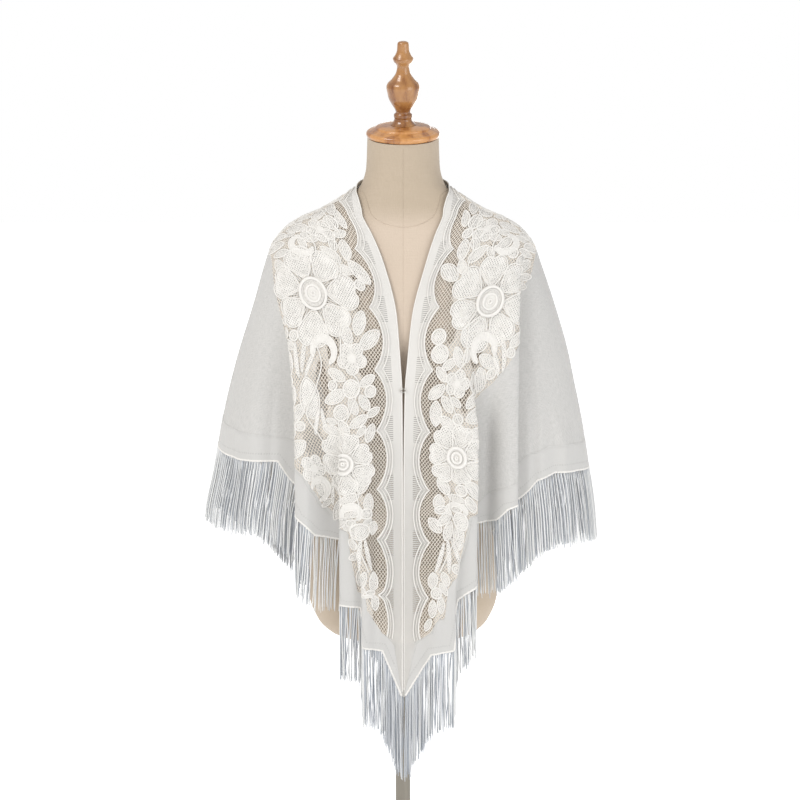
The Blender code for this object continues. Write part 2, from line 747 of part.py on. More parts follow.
def build_fringe(half, material, collection):
    """The hem braid with its strands: short stretches of the braid's underside are drawn down."""
    sections = braid_sections(half)
    mesh = bmesh.new()
    loops = []
    stations = strand_stations(half)
    for i, share, _ in stations:
        section = sections[i] * (1 - share) + sections[i + 1] * share
        loops.append([mesh.verts.new(tuple(point)) for point in section])
    for (i, share, strand), station, a, b in zip(stations, stations[1:], loops, loops[1:]):
        for k in (0, 2, 3):
            m = (k + 1) % 4
            mesh.faces.new((a[k], b[k], b[m], a[m]))
        if not strand:
            mesh.faces.new((a[1], b[1], b[2], a[2]))
            continue
        middle = (share + station[1]) / 2
        fraction = half.fractions[i] * (1 - middle) + half.fractions[i + 1] * middle
        around, z = half.hem.at(fraction)
        root = np.mean([corner.co for corner in (a[1], b[1], b[2], a[2])], axis=0)
        ahead, behind = (drape_point(half.name, around + turn, z) for turn in (SMALL_TURN, -SMALL_TURN))
        pace = (ahead - behind) / (2 * SMALL_TURN)
        around += float((root - drape_point(half.name, around, z)) @ pace / (pace @ pace))
        foot_z = root[2] - STRAND_LENGTH
        foot = drape_point(half.name, around, foot_z)
        beside = drape_point(half.name, around + 2 * SMALL_TURN, foot_z) - foot
        across = beside / np.linalg.norm(beside) * STRAND_WIDTH / 2
        inward = np.array([-across[1], across[0], 0.0]) * SIGN[half.name]
        corners = (
            foot - across - inward, foot + across - inward,
            foot + across + inward, foot - across + inward)
        ends = [mesh.verts.new(tuple(point)) for point in corners]
        tops = (a[1], b[1], b[2], a[2])
        for k in range(4):
            m = (k + 1) % 4
            mesh.faces.new((tops[k], tops[m], ends[m], ends[k]))
        mesh.faces.new(ends)
    mesh.faces.new(loops[0])
    mesh.faces.new(loops[-1])
    name = f"fringe_{half.name}"
    add_object(name, mesh_data(name, mesh), material, collection)


# ---------------------------------------------------------------- the dress form

def build_form(material, collection):
    """The limbless torso with its neck, a loft of level sections that tilt towards the neck cap."""
    heights = column(FORM, FORM_COLUMNS, "z")
    around = np.linspace(0.0, 1.0, 13)
    mesh = bmesh.new()
    loops = []
    for z in heights:
        x, y = form_point(around, np.full_like(around, z))
        share = float(eased((z - NECK_FOOT) / (heights[0] - NECK_FOOT)))
        right = [(px, py, z + share * math.tan(CAP_TILT) * (py - CAP_SEAT[1])) for px, py in zip(x, y)]
        left = [(-px, py, pz) for px, py, pz in reversed(right[1:-1])]
        loops.append([mesh.verts.new(point) for point in right + left])
    for high, low in zip(loops, loops[1:]):
        for i in range(len(high)):
            j = (i + 1) % len(high)
            mesh.faces.new((high[i], high[j], low[j], low[i]))
    mesh.faces.new(loops[0])
    mesh.faces.new(loops[-1])
    add_object("torso", mesh_data("torso", mesh), material, collection)


def build_stand(materials, collection):
    """Neck cap, finial, socket plate, pole and base."""
    seat = bpy.data.objects.new("neck_seat", None)
    seat.location = CAP_SEAT
    seat.rotation_euler = (CAP_TILT, 0.0, 0.0)
    collection.objects.link(seat)
    cap = turned("neck_cap", NECK_CAP, 24, materials["wood"], collection)
    cap.parent = seat
    cap.location = (0.0, 0.0, SEAM)
    finial = turned("finial", FINIAL, 14, materials["wood"], collection)
    finial.parent = seat
    finial.location = (0.0, 0.0, NECK_CAP[-1][0] + 2 * SEAM)
    floor = FORM[-1][0]
    steel = materials["steel"]
    plate_profile = ((0.0, SOCKET_RADIUS), (SOCKET_HEIGHT, SOCKET_RADIUS))
    socket = turned("socket_plate", plate_profile, 24, steel, collection)
    socket.location = (0.0, 0.0, floor - SEAM - SOCKET_HEIGHT)
    top = floor - 2 * SEAM - SOCKET_HEIGHT
    bottom = BASE_HEIGHT + SEAM
    pole = turned("pole", ((0.0, POLE_RADIUS), (top - bottom, POLE_RADIUS)), 16, steel, collection)
    pole.location = (0.0, 0.0, bottom)
    base_profile = (
        (0.0, BASE_RADIUS), (BASE_HEIGHT - BASE_RIM, BASE_RADIUS), (BASE_HEIGHT, BASE_RADIUS - BASE_RIM))
    turned("base", base_profile, 36, materials["painted"], collection)


def build_hook(materials, collection):
    """The small closure that joins the two edges at the bust."""
    edge = drape_point("right", HOOK_PLACE, HOOK_HEIGHT)
    place = (0.0, edge[1] - HOOK_LIFT, HOOK_HEIGHT)
    bpy.ops.mesh.primitive_torus_add(
        major_radius=HOOK_RADIUS, minor_radius=HOOK_WIRE, major_segments=10, minor_segments=4,
        location=place, rotation=(math.radians(90), 0.0, 0.0))
    made = bpy.context.object
    made.name = made.data.name = "hook"
    for other in list(made.users_collection):
        other.objects.unlink(made)
    collection.objects.link(made)
    made.data.materials.append(materials["steel"])


def main():
    clear_scene()
    collection = bpy.data.collections.new("lace_shawl_on_dress_form")
    bpy.context.scene.collection.children.link(collection)
    materials = {name: make_material(name) for name in COLOURS}
    halves = {name: Half(name) for name in HALVES}
    for half in halves.values():
        build_cloth(half, materials, collection)
        build_scallops(half, materials["lace"], collection)
        build_fringe(half, materials["lace"], collection)
    build_flowers(halves, materials["lace"], collection)
    build_hook(materials, collection)
    build_form(materials["linen"], collection)
    build_stand(materials, collection)


main()
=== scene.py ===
"""A lace shawl on a dress form: the fine cloth, lace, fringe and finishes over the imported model.

Metres, +Z up, the shawl's front towards -Y. "left" and "right" are the viewer's, seen from the front.
The flat shawl is read by two distances: along its long edge from the centre back, and away from that edge.
"""

import functools
import math

import bpy
import numpy as np
from bpy.props import FloatProperty, FloatVectorProperty, IntProperty, PointerProperty
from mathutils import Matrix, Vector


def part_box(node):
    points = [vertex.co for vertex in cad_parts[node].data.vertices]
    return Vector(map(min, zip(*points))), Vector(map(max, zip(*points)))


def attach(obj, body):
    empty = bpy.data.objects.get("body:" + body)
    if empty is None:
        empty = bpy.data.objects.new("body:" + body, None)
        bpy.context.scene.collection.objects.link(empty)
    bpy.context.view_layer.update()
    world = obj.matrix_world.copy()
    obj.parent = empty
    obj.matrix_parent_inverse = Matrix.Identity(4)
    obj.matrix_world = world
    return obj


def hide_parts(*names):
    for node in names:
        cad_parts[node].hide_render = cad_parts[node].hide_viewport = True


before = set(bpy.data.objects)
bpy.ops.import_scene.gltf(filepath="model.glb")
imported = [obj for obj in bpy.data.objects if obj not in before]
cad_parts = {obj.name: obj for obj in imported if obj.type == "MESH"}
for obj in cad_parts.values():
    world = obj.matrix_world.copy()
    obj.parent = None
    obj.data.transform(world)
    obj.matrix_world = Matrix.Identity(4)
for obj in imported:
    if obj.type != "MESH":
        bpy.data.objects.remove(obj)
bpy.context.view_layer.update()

bl_info = {
    "name": "Lace shawl on a dress form",
    "version": (1, 0, 0),
    "blender": (4, 5, 0),
    "location": "3D View > Sidebar > Shawl",
    "description": "Builds the cloth, lace, fringe, dress form and studio of a draped lace shawl",
    "category": "Object",
}

HALVES = ("left", "right")
SIGN = {"left": -1.0, "right": 1.0}

# ---------------------------------------------------------------- tables of the drape

FORM_COLUMNS = ("z", "side", "front", "back")
FORM = (
    (1.4385, 0.0580, 0.0720, 0.0400),
    (1.3900, 0.0600, 0.0660, 0.0480),
    (1.3610, 0.0690, 0.0640, 0.0600),
    (1.3447, 0.0885, 0.0655, 0.0690),
    (1.3235, 0.1245, 0.0690, 0.0800),
    (1.3090, 0.1570, 0.0730, 0.0865),
    (1.2910, 0.1840, 0.0785, 0.0930),
    (1.2630, 0.1920, 0.0870, 0.0990),
    (1.2300, 0.1880, 0.0965, 0.1030),
    (1.1730, 0.1700, 0.1090, 0.1040),
    (1.1300, 0.1580, 0.1130, 0.1010),
    (1.0600, 0.1400, 0.1020, 0.0900),
    (0.9300, 0.1200, 0.0840, 0.0780),
    (0.8300, 0.1380, 0.0920, 0.0960),
    (0.7400, 0.1555, 0.0985, 0.1130),
    (0.6850, 0.1560, 0.0960, 0.1120),
    (0.6450, 0.1420, 0.0860, 0.1000),
    (0.6230, 0.1200, 0.0720, 0.0830),
    (0.6130, 0.0950, 0.0560, 0.0640),
)

DRAPE_COLUMNS = ("z", "left", "right", "front", "back")
DRAPE = (
    (1.4200, 0.0640, 0.0640, 0.0760, 0.0470),
    (1.3900, 0.0665, 0.0665, 0.0720, 0.0550),
    (1.3610, 0.0750, 0.0745, 0.0700, 0.0655),
    (1.3447, 0.0970, 0.0965, 0.0730, 0.0755),
    (1.3235, 0.1320, 0.1300, 0.0745, 0.0855),
    (1.3090, 0.1655, 0.1635, 0.0785, 0.0920),
    (1.2910, 0.1935, 0.1930, 0.0840, 0.0985),
    (1.2630, 0.2150, 0.2150, 0.0925, 0.1045),
    (1.2300, 0.2270, 0.2270, 0.1015, 0.1080),
    (1.1730, 0.2435, 0.2465, 0.1140, 0.1095),
    (1.0900, 0.2690, 0.2700, 0.1200, 0.1130),
    (1.0400, 0.2825, 0.2800, 0.1230, 0.1160),
    (0.9665, 0.2995, 0.2960, 0.1270, 0.1210),
    (0.9000, 0.3110, 0.3070, 0.1300, 0.1260),
    (0.8200, 0.3270, 0.3180, 0.1330, 0.1320),
    (0.6100, 0.3400, 0.3300, 0.1380, 0.1450),
    (0.4000, 0.3400, 0.3300, 0.1400, 0.1500),
)

EDGE_COLUMNS = ("face", "left", "right", "z")
EDGE = (
    ("front", 0.0002, 0.0002, 0.5390),
    ("front", 0.0002, 0.0002, 0.7000),
    ("front", 0.0003, 0.0004, 0.8800),
    ("front", 0.0014, 0.0026, 1.0365),
    ("front", 0.0040, 0.0062, 1.0800),
    ("front", 0.0100, 0.0140, 1.1550),
    ("front", 0.0270, 0.0325, 1.2260),
    ("front", 0.0520, 0.0530, 1.2877),
    ("front", 0.0720, 0.0700, 1.3420),
    ("back", 0.0690, 0.0690, 1.3680),
    ("back", 0.0400, 0.0400, 1.3760),
    ("back", 0.0, 0.0, 1.3780),
)

# The hem of each half: face, distance from the centre, height.
HEM = {
    "left": (
        ("front", 0.0002, 0.5390),
        ("front", 0.0330, 0.6200),
        ("front", 0.0600, 0.6270),
        ("front", 0.0720, 0.6900),
        ("front", 0.0960, 0.6930),
        ("front", 0.1050, 0.7950),
        ("front", 0.1410, 0.8040),
        ("front", 0.1620, 0.8350),
        ("front", 0.1740, 0.8740),
        ("front", 0.2040, 0.9200),
        ("front", 0.2690, 0.9210),
        ("back", 0.3020, 0.9420),
        ("back", 0.2850, 0.9350),
        ("back", 0.2350, 0.8850),
        ("back", 0.1600, 0.7900),
        ("back", 0.0700, 0.6750),
        ("back", 0.0, 0.6150),
    ),
    "right": (
        ("front", 0.0002, 0.5390),
        ("front", 0.0446, 0.6140),
        ("front", 0.0760, 0.6210),
        ("front", 0.0910, 0.7020),
        ("front", 0.1120, 0.7260),
        ("front", 0.1210, 0.8200),
        ("front", 0.1510, 0.8270),
        ("front", 0.1670, 0.8460),
        ("front", 0.1900, 0.8600),
        ("front", 0.2187, 0.8888),
        ("front", 0.2480, 0.9000),
        ("back", 0.3030, 0.8990),
        ("back", 0.2850, 0.8930),
        ("back", 0.2350, 0.8550),
        ("back", 0.1600, 0.7750),
        ("back", 0.0700, 0.6720),
        ("back", 0.0, 0.6150),
    ),
}

TURN_COLUMNS = ("fraction", "round", "z")
TURN = (
    (0.35, 0.250, 0.860),
    (0.50, 0.310, 1.000),
    (0.60, 0.370, 1.105),
    (0.70, 0.440, 1.195),
    (0.79, 0.580, 1.225),
    (0.885, 0.780, 1.200),
    (1.00, 1.000, 1.185),
)

# Pleats whose crest overhangs the valley outside it: half, reach from the centre at the top and at the
# bottom, heights where the pleat starts and is full, width of the drop, depth, overhang.
PLEATS = (
    ("left", 0.092, 0.064, 0.900, 0.700, 0.0060, 0.024, 0.0045),
    ("left", 0.100, 0.098, 1.020, 0.840, 0.0060, 0.036, 0.0080),
    ("left", 0.198, 0.168, 1.250, 0.980, 0.0065, 0.036, 0.0085),
    ("right", 0.104, 0.082, 0.880, 0.700, 0.0060, 0.026, 0.0045),
    ("right", 0.106, 0.114, 1.110, 0.960, 0.0060, 0.042, 0.0085),
    ("right", 0.196, 0.180, 1.290, 1.150, 0.0042, 0.028, 0.0060),
)

# Soft folds and creases: half, face, reach from the centre at the top and at the bottom, heights where it
# starts and is full, half-width, height (below zero for a trough).
FOLDS = (
    ("left", "front", 0.225, 0.240, 1.180, 0.960, 0.020, 0.007),
    ("left", "front", 0.085, 0.060, 1.120, 0.950, 0.022, 0.006),
    ("left", "front", 0.140, 0.130, 1.100, 0.900, 0.016, -0.007),
    ("left", "front", 0.052, 0.046, 0.960, 0.760, 0.006, -0.004),
    ("left", "front", 0.076, 0.080, 0.900, 0.760, 0.007, 0.003),
    ("left", "front", 0.262, 0.276, 1.080, 0.960, 0.008, -0.003),
    ("left", "front", 0.160, 0.150, 1.020, 0.880, 0.007, 0.003),
    ("left", "front", 0.205, 0.216, 1.100, 0.950, 0.007, -0.003),
    ("right", "front", 0.215, 0.245, 1.200, 0.950, 0.022, -0.006),
    ("right", "front", 0.060, 0.050, 1.080, 0.900, 0.018, 0.006),
    ("right", "front", 0.145, 0.140, 1.080, 0.920, 0.012, -0.008),
    ("right", "front", 0.084, 0.076, 1.000, 0.820, 0.006, -0.004),
    ("right", "front", 0.066, 0.064, 0.860, 0.700, 0.006, -0.003),
    ("right", "front", 0.200, 0.214, 1.120, 0.960, 0.007, -0.004),
    ("right", "front", 0.232, 0.262, 1.060, 0.930, 0.008, 0.004),
    ("right", "front", 0.268, 0.286, 1.020, 0.940, 0.007, -0.003),
    ("left", "back", 0.240, 0.265, 1.150, 0.950, 0.020, 0.010),
    ("left", "back", 0.205, 0.226, 1.100, 0.930, 0.009, -0.005),
    ("left", "back", 0.170, 0.195, 1.150, 0.900, 0.024, 0.016),
    ("left", "back", 0.110, 0.120, 1.100, 0.850, 0.022, 0.013),
    ("left", "back", 0.082, 0.086, 1.040, 0.840, 0.008, -0.005),
    ("left", "back", 0.045, 0.050, 1.120, 0.800, 0.020, 0.016),
    ("right", "back", 0.235, 0.260, 1.180, 0.950, 0.022, 0.012),
    ("right", "back", 0.206, 0.222, 1.090, 0.930, 0.008, -0.006),
    ("right", "back", 0.175, 0.190, 1.120, 0.900, 0.020, 0.014),
    ("right", "back", 0.100, 0.115, 1.140, 0.850, 0.024, 0.015),
    ("right", "back", 0.070, 0.078, 1.060, 0.830, 0.009, -0.005),
    ("right", "back", 0.040, 0.048, 1.080, 0.780, 0.018, 0.012),
)

PLEAT_REACH = 7
LEAN_SCALE = 1.65
ROUNDNESS = 0.15
HEM_BOW = 0.018
BOW_SCALE = 27 / 4
BOW_FULL = 0.08
TURN_BLEND = 0.25
# Cloth that a turn of one radian costs when the rows of a sheet are spaced.
BEND_EFFORT = 0.010
TIP_FRACTION = 0.004
TIP_LONGER = 0.16

BUST_X = 0.082
BUST_Z = 1.125
BUST_WIDTH = 0.055
BUST_ABOVE = 0.060
BUST_BELOW = 0.050
BUST_BELOW_CLOTH = 0.220
BUST_FULLNESS = 0.018

# The border: band, scalloped line and lace, by distance from the long edge.
BAND_WIDTH = 0.022
LACE_WIDTH = 0.200
LACE_OUTER = {
    "left": ((0.0, 0.200), (0.60, 0.200), (0.68, 0.170), (0.84, 0.150), (0.865, 0.062), (0.905, 0.031)),
    "right": (
        (0.0, 0.200), (0.405, 0.200), (0.450, 0.168), (0.505, 0.136),
        (0.84, 0.130), (0.865, 0.062), (0.905, 0.031)),
}
# Shares of a short thread that band, lace and plain cloth keep, and how much thicker the band is.
BAND_SHARE = 0.4
BAND_THICKER = 1.3
LACE_SHARE = 0.62
PLAIN_SHARE = 0.45
HEM_BORDER = 0.050
HEM_FOLD = 0.044
HEM_WALL = 0.0003
HEM_LIFT = 0.00062
OPENWORK = 0.0115
SCALLOP_PERIOD = 0.0925
SCALLOP_FIRST = 0.002
SCALLOP_CREST = 0.0255
SCALLOP_CUSP = 0.044
SCALLOP_ROUND = 0.7
# Cords along the scallops: crest and cusp of the line, radius, lift.
SCALLOP_LINES = (
    (SCALLOP_CREST, SCALLOP_CUSP, 0.0013, 0.0008),
    (0.0165, 0.0310, 0.0011, 0.0010),
    (0.0210, 0.0376, 0.0007, 0.0009),
)
LACE_END = 0.905
# Shares of the way to the lace's rim at which band, ground and cords stop short.
BAND_STOP, GROUND_STOP, CORD_STOP = 0.9, 0.96, 0.92
# The sheets of each half, and the rows of faces across each.
SHEET_ROWS = {"voile": 120, "hem_border": 14, "knit_band": 12, "lace_ground": 36}

# Motifs of the lace: halves, kind, along, away, size, turn (degrees: 0 to the tip, 90 away from the edge).
MOTIFS = (
    ("left", "flower", 0.358, 0.132, 0.070, 8),
    ("right", "flower", 0.372, 0.126, 0.068, 30),
    ("left", "flower", 0.607, 0.098, 0.050, 40),
    ("right", "flower", 0.588, 0.088, 0.047, 12),
    # over the shoulder and beside the first flower
    ("both", "rosette", 0.254, 0.092, 0.023, 10),
    ("both", "bud", 0.237, 0.068, 0.012, 0),
    ("both", "scroll", 0.283, 0.134, 0.018, 60),
    ("both", "leaf", 0.286, 0.062, 0.038, 8),
    ("both", "leaf", 0.299, 0.090, 0.036, 128),
    ("both", "leaf", 0.272, 0.112, 0.026, 70),
    ("both", "leaf", 0.316, 0.182, 0.034, 150),
    ("both", "leaf", 0.292, 0.176, 0.032, 95),
    ("both", "bud", 0.300, 0.150, 0.009, 0),
    # between the two flowers, along the scallops
    ("left", "leaf", 0.396, 0.062, 0.038, 20),
    ("left", "leaf", 0.414, 0.084, 0.034, -14),
    ("right", "leaf", 0.420, 0.070, 0.034, 105),
    ("right", "bud", 0.441, 0.052, 0.013, 0),
    ("right", "leaf", 0.446, 0.082, 0.030, 20),
    ("right", "leaf", 0.436, 0.104, 0.028, 66),
    ("both", "scroll", 0.438, 0.124, 0.018, 200),
    ("left", "rosette", 0.447, 0.078, 0.023, 0),
    ("left", "scroll", 0.432, 0.104, 0.016, 170),
    ("left", "bud", 0.490, 0.082, 0.013, 0),
    ("left", "leaf", 0.480, 0.056, 0.028, 60),
    ("left", "leaf", 0.512, 0.062, 0.028, 150),
    ("left", "leaf", 0.470, 0.104, 0.030, 120),
    ("right", "leaf", 0.470, 0.058, 0.026, 40),
    ("right", "rosette", 0.482, 0.084, 0.019, 20),
    ("right", "bud", 0.521, 0.100, 0.013, 0),
    ("right", "leaf", 0.528, 0.052, 0.038, 0),
    ("right", "leaf", 0.512, 0.070, 0.028, 35),
    ("right", "leaf", 0.504, 0.110, 0.028, 140),
    ("both", "leaf", 0.540, 0.072, 0.032, 60),
    ("both", "leaf", 0.552, 0.116, 0.034, 120),
    ("left", "leaf", 0.560, 0.054, 0.030, 20),
    # beyond the first flower
    ("both", "leaf", 0.350, 0.216, 0.036, 4),
    ("both", "bud", 0.386, 0.213, 0.012, 0),
    ("both", "bud", 0.413, 0.190, 0.008, 0),
    ("both", "blade", 0.440, 0.156, 0.050, 10),
    ("both", "blade", 0.447, 0.168, 0.048, -6),
    ("both", "blade", 0.452, 0.146, 0.042, 28),
    ("both", "leaf", 0.500, 0.150, 0.060, -10),
    ("both", "leaf", 0.476, 0.130, 0.036, 30),
    ("both", "leaf", 0.520, 0.172, 0.036, 40),
    ("both", "bud", 0.474, 0.186, 0.009, 0),
    ("both", "blade", 0.536, 0.140, 0.044, 12),
    ("both", "blade", 0.534, 0.128, 0.040, -12),
    ("both", "leaf", 0.566, 0.160, 0.036, 140),
    ("both", "leaf", 0.548, 0.184, 0.032, 10),
    ("both", "rosette", 0.606, 0.164, 0.020, 0),
    ("both", "scroll", 0.636, 0.166, 0.015, 250),
    ("both", "leaf", 0.588, 0.148, 0.028, 60),
    ("both", "blade", 0.652, 0.134, 0.038, -20),
    ("both", "blade", 0.650, 0.146, 0.038, 15),
    # below the second flower
    ("both", "leaf", 0.640, 0.066, 0.032, 30),
    ("both", "leaf", 0.662, 0.090, 0.034, 70),
    ("both", "leaf", 0.672, 0.058, 0.034, 0),
    ("both", "leaf", 0.668, 0.112, 0.034, 20),
    ("both", "scroll", 0.690, 0.088, 0.016, 190),
    ("both", "bud", 0.690, 0.062, 0.010, 0),
    ("left", "bud", 0.728, 0.074, 0.016, 0),
    ("left", "leaf", 0.722, 0.050, 0.030, 10),
    ("right", "leaf", 0.716, 0.052, 0.030, 40),
    ("right", "leaf", 0.726, 0.074, 0.030, -20),
    ("both", "leaf", 0.706, 0.108, 0.032, 60),
    ("both", "blade", 0.766, 0.060, 0.048, -16),
    ("both", "blade", 0.764, 0.074, 0.052, 4),
    ("both", "blade", 0.758, 0.088, 0.050, 24),
    ("both", "blade", 0.744, 0.098, 0.040, 48),
    ("both", "leaf", 0.806, 0.050, 0.032, 0),
    ("both", "leaf", 0.802, 0.070, 0.026, 20),
    ("both", "bud", 0.828, 0.056, 0.008, 0),
    ("both", "leaf", 0.852, 0.050, 0.026, -6),
    ("right", "leaf", 0.876, 0.042, 0.020, -30),
    ("left", "leaf", 0.842, 0.064, 0.022, 30),
)
# Stems between the motifs: places through which they run on both halves.
STEMS = (
    ((0.236, 0.058), (0.262, 0.070), (0.290, 0.080), (0.318, 0.078), (0.336, 0.086)),
    ((0.262, 0.118), (0.286, 0.112), (0.306, 0.118)),
    ((0.400, 0.096), (0.428, 0.094), (0.452, 0.094), (0.480, 0.070), (0.505, 0.076), (0.540, 0.092)),
    ((0.418, 0.140), (0.452, 0.128), (0.486, 0.140), (0.520, 0.156), (0.552, 0.142), (0.584, 0.130)),
    ((0.366, 0.200), (0.392, 0.204), (0.424, 0.180), (0.462, 0.176), (0.500, 0.180)),
    ((0.650, 0.080), (0.678, 0.074), (0.702, 0.080), (0.728, 0.092), (0.752, 0.078), (0.790, 0.060)),
    ((0.610, 0.142), (0.640, 0.136), (0.668, 0.126), (0.694, 0.112)),
)
# The same motifs run on over the shoulder, mirrored about this place.
MIRROR_ALONG = 0.245
MIRRORED_FROM = 0.262
MIRRORED_TO = 0.485
# Places left as bare net: along, away, half-length, half-width.
BARE = {
    "left": ((0.435, 0.108, 0.022, 0.010), (0.490, 0.130, 0.042, 0.011), (0.572, 0.150, 0.034, 0.017)),
    "right": ((0.402, 0.066, 0.026, 0.009), (0.440, 0.112, 0.022, 0.010), (0.497, 0.097, 0.026, 0.009)),
}
# Cords and patches of the motifs, and the ground between them.
OUTLINE = 0.0012
FINE_LINE = 0.0007
PATCH_LIFT = 0.0008
PATCH_WALL = 0.0006
GROUND_WALL = 0.0003
GROUND_LIFT = -0.0003
# Small leaves and buds that fill the gaps: most of them, least half-gap, seeds of their turns, share that
# are buds, grid on which gaps are looked for, bare net kept beyond the scallops.
FILLERS = 150
FILLER_LEAST = 0.0062
FILLER_SEED = {"left": 5, "right": 8}
FILLER_BUDS = 0.22
FILLER_GRID = 0.004
WINDOW = 0.024

# Where the form shows between the strands of the fringe: half its width, height of its foot, share of a
# strand's length that has to stay above it.
FORM_HALF = 0.142
FORM_FOOT = 0.620
FORM_CLEAR = 0.8
FRINGE_SEED = {"left": 31, "right": 47}
# Fringe: share of the hem near the front tip, strands that a root has more there, room for a strand at the
# root, how deep the inner strands hang, radius of the hem's sections.
TIP_SHARE = 0.2
TIP_EXTRA = 1.6
STRAND_ROOM = 0.0012
STRAND_SINK = 0.0026
HEM_RADIUS = 0.30

# Turned wood: height above the foot, radius.
FINIAL = (
    (0.0000, 0.0208), (0.0040, 0.0166), (0.0075, 0.0145), (0.0099, 0.0140), (0.0132, 0.0150),
    (0.0165, 0.0149), (0.0198, 0.0119), (0.0247, 0.0132), (0.0330, 0.0182), (0.0429, 0.0234),
    (0.0511, 0.0252), (0.0610, 0.0269), (0.0660, 0.0256), (0.0742, 0.0182), (0.0842, 0.0116),
    (0.0940, 0.0096), (0.0973, 0.0107), (0.1022, 0.0149), (0.1072, 0.0165), (0.1122, 0.0132),
    (0.1204, 0.0099), (0.1312, 0.0091), (0.1337, 0.0076), (0.1347, 0.0050),
)
NECK_CAP = (
    (0.0000, 0.0560), (0.0012, 0.0584), (0.0030, 0.0594), (0.0060, 0.0599), (0.0082, 0.0592),
    (0.0098, 0.0574), (0.0106, 0.0556), (0.0105, 0.0543), (0.0112, 0.0530), (0.0128, 0.0495),
    (0.0140, 0.0462), (0.0141, 0.0452), (0.0150, 0.0447), (0.0164, 0.0443), (0.0174, 0.0425),
    (0.0176, 0.0408), (0.0182, 0.0390), (0.0190, 0.0350), (0.0197, 0.0295), (0.0200, 0.0240),
)
CAP_TONE, FINIAL_TONE = 1.18, 0.80
CAP_TILT = math.radians(14)
CAP_SEAT = (0.0, -0.0165, 1.4385)
NECK_FOOT = 1.361

# Rows of the form's cover: from, to, how many.
COVER_ROWS = ((FORM[0][0], 1.25, 64), (1.247, 0.66, 110), (0.657, 0.613, 26))
COVER_HUBS = (1.44, 0.61)
CENTRE_SEAM = (1.431, 0.620)
NECK_SEAM, NECK_SEAM_DIP = 1.352, 0.058

# The stand's turned pieces: node, finish, slot, radius of the rim.
STAND = (
    ("pole", "steel", "steel", 0.0004),
    ("socket_plate", "steel", "steel", 0.0012),
    ("base", "paint", "painted", 0.0040),
)

# Hook and eyes: distance from the middle, radius of the loop.
HOOK_LOOPS = ((0.0, 0.0030), (-0.0042, 0.0014), (0.0042, 0.0014))
HOOK_WIRE = 0.0005

# The studio: half the floor's side, lamps (name, place, size, share of the key light, colour), and where
# the lamps aim.
FLOOR = 60.0
LAMPS = (
    ("key", (-2.3, -2.0, 4.1), 1.6, 1.0, (1.0, 0.985, 0.965)),
    ("fill", (2.8, -2.6, 1.6), 2.2, 0.50, (0.97, 0.98, 1.0)),
    ("back", (0.8, 4.2, 1.3), 2.2, 0.45, (1.0, 0.99, 0.97)),
)
LAMP_AIM = (0.0, 0.0, 1.05)
# The camera: height of its angle, distance, what it looks at, metres in one of the frame's 800 pixels.
CAMERA_RISE = math.radians(6.0)
CAMERA_DISTANCE = 3.5
CAMERA_TARGET = (-0.005, 0.0, 1.008)
PIXEL = 0.00165
FRAME_PIXELS = 800
SENSOR = 36.0


# ---------------------------------------------------------------- reading the tables

def column(rows, columns, name):
    """One named column of a table as an array."""
    place = columns.index(name)
    return np.array([row[place] for row in rows], dtype=float)


def smooth_curve(x, y, at):
    """A curve without overshoot through the points (x, y), x rising, read at any places."""
    x, y = np.asarray(x, float), np.asarray(y, float)
    step = np.diff(x)
    slope = np.diff(y) / step
    tangent = np.zeros(len(x))
    same_way = slope[:-1] * slope[1:] > 0
    mean = np.where(same_way, 2 * slope[:-1] * slope[1:], 0.0)
    total = np.where(same_way, slope[:-1] + slope[1:], 1.0)
    tangent[1:-1] = mean / total
    tangent[0], tangent[-1] = slope[0], slope[-1]
    at = np.clip(at, x[0], x[-1])
    i = np.clip(np.searchsorted(x, at) - 1, 0, len(step) - 1)
    t = (at - x[i]) / step[i]
    rise = y[i] * (1 + 2 * t) * (1 - t) ** 2 + y[i + 1] * t ** 2 * (3 - 2 * t)
    return rise + step[i] * (tangent[i] * t * (1 - t) ** 2 - tangent[i + 1] * t ** 2 * (1 - t))


def section_size(rows, columns, name, z):
    """A section's size at height z, from a table that runs from top to bottom."""
    return smooth_curve(column(rows, columns, "z")[::-1], column(rows, columns, name)[::-1], z)


def sections(rows, columns, names, z):
    """Several of a section's sizes at height z."""
    return [section_size(rows, columns, name, z) for name in names]


def eased(t):
    """0 to 1 with level ends."""
    t = np.clip(t, 0.0, 1.0)
    return t * t * (3 - 2 * t)


def unit(vectors):
    """Vectors brought to length one."""
    return vectors / np.maximum(np.linalg.norm(vectors, axis=-1, keepdims=True), 1e-9)


def circle(count):
    """Places round a circle of radius one."""
    t = np.linspace(0, 2 * np.pi, count, endpoint=False)
    return np.stack([np.cos(t), np.sin(t)], axis=1)


def ring(side, front, back, around):
    """A level section: around is 0 at the centre front, 0.5 at the side, 1 at the centre back."""
    turn = np.pi * around
    sine, cosine = np.sin(turn), np.cos(turn)
    x = side * sine * (1 + ROUNDNESS * cosine ** 2)
    y = -np.where(cosine > 0, front, back) * cosine * (1 + ROUNDNESS * sine ** 2)
    return x, y


def bust(x, z, below):
    """How far the bust stands forward."""
    rise = np.where(z > BUST_Z, BUST_ABOVE, below)
    return BUST_FULLNESS * np.exp(-((x - BUST_X) / BUST_WIDTH) ** 2 - ((z - BUST_Z) / rise) ** 2)


def crease(x, z, x_top, x_low, z_top, z_full, width):
    """How far a crease has set in at height z, and the place across it in its own widths."""
    fade = eased((z_top - z) / (z_top - z_full))
    return fade, (x - x_top - (x_low - x_top) * fade) / width


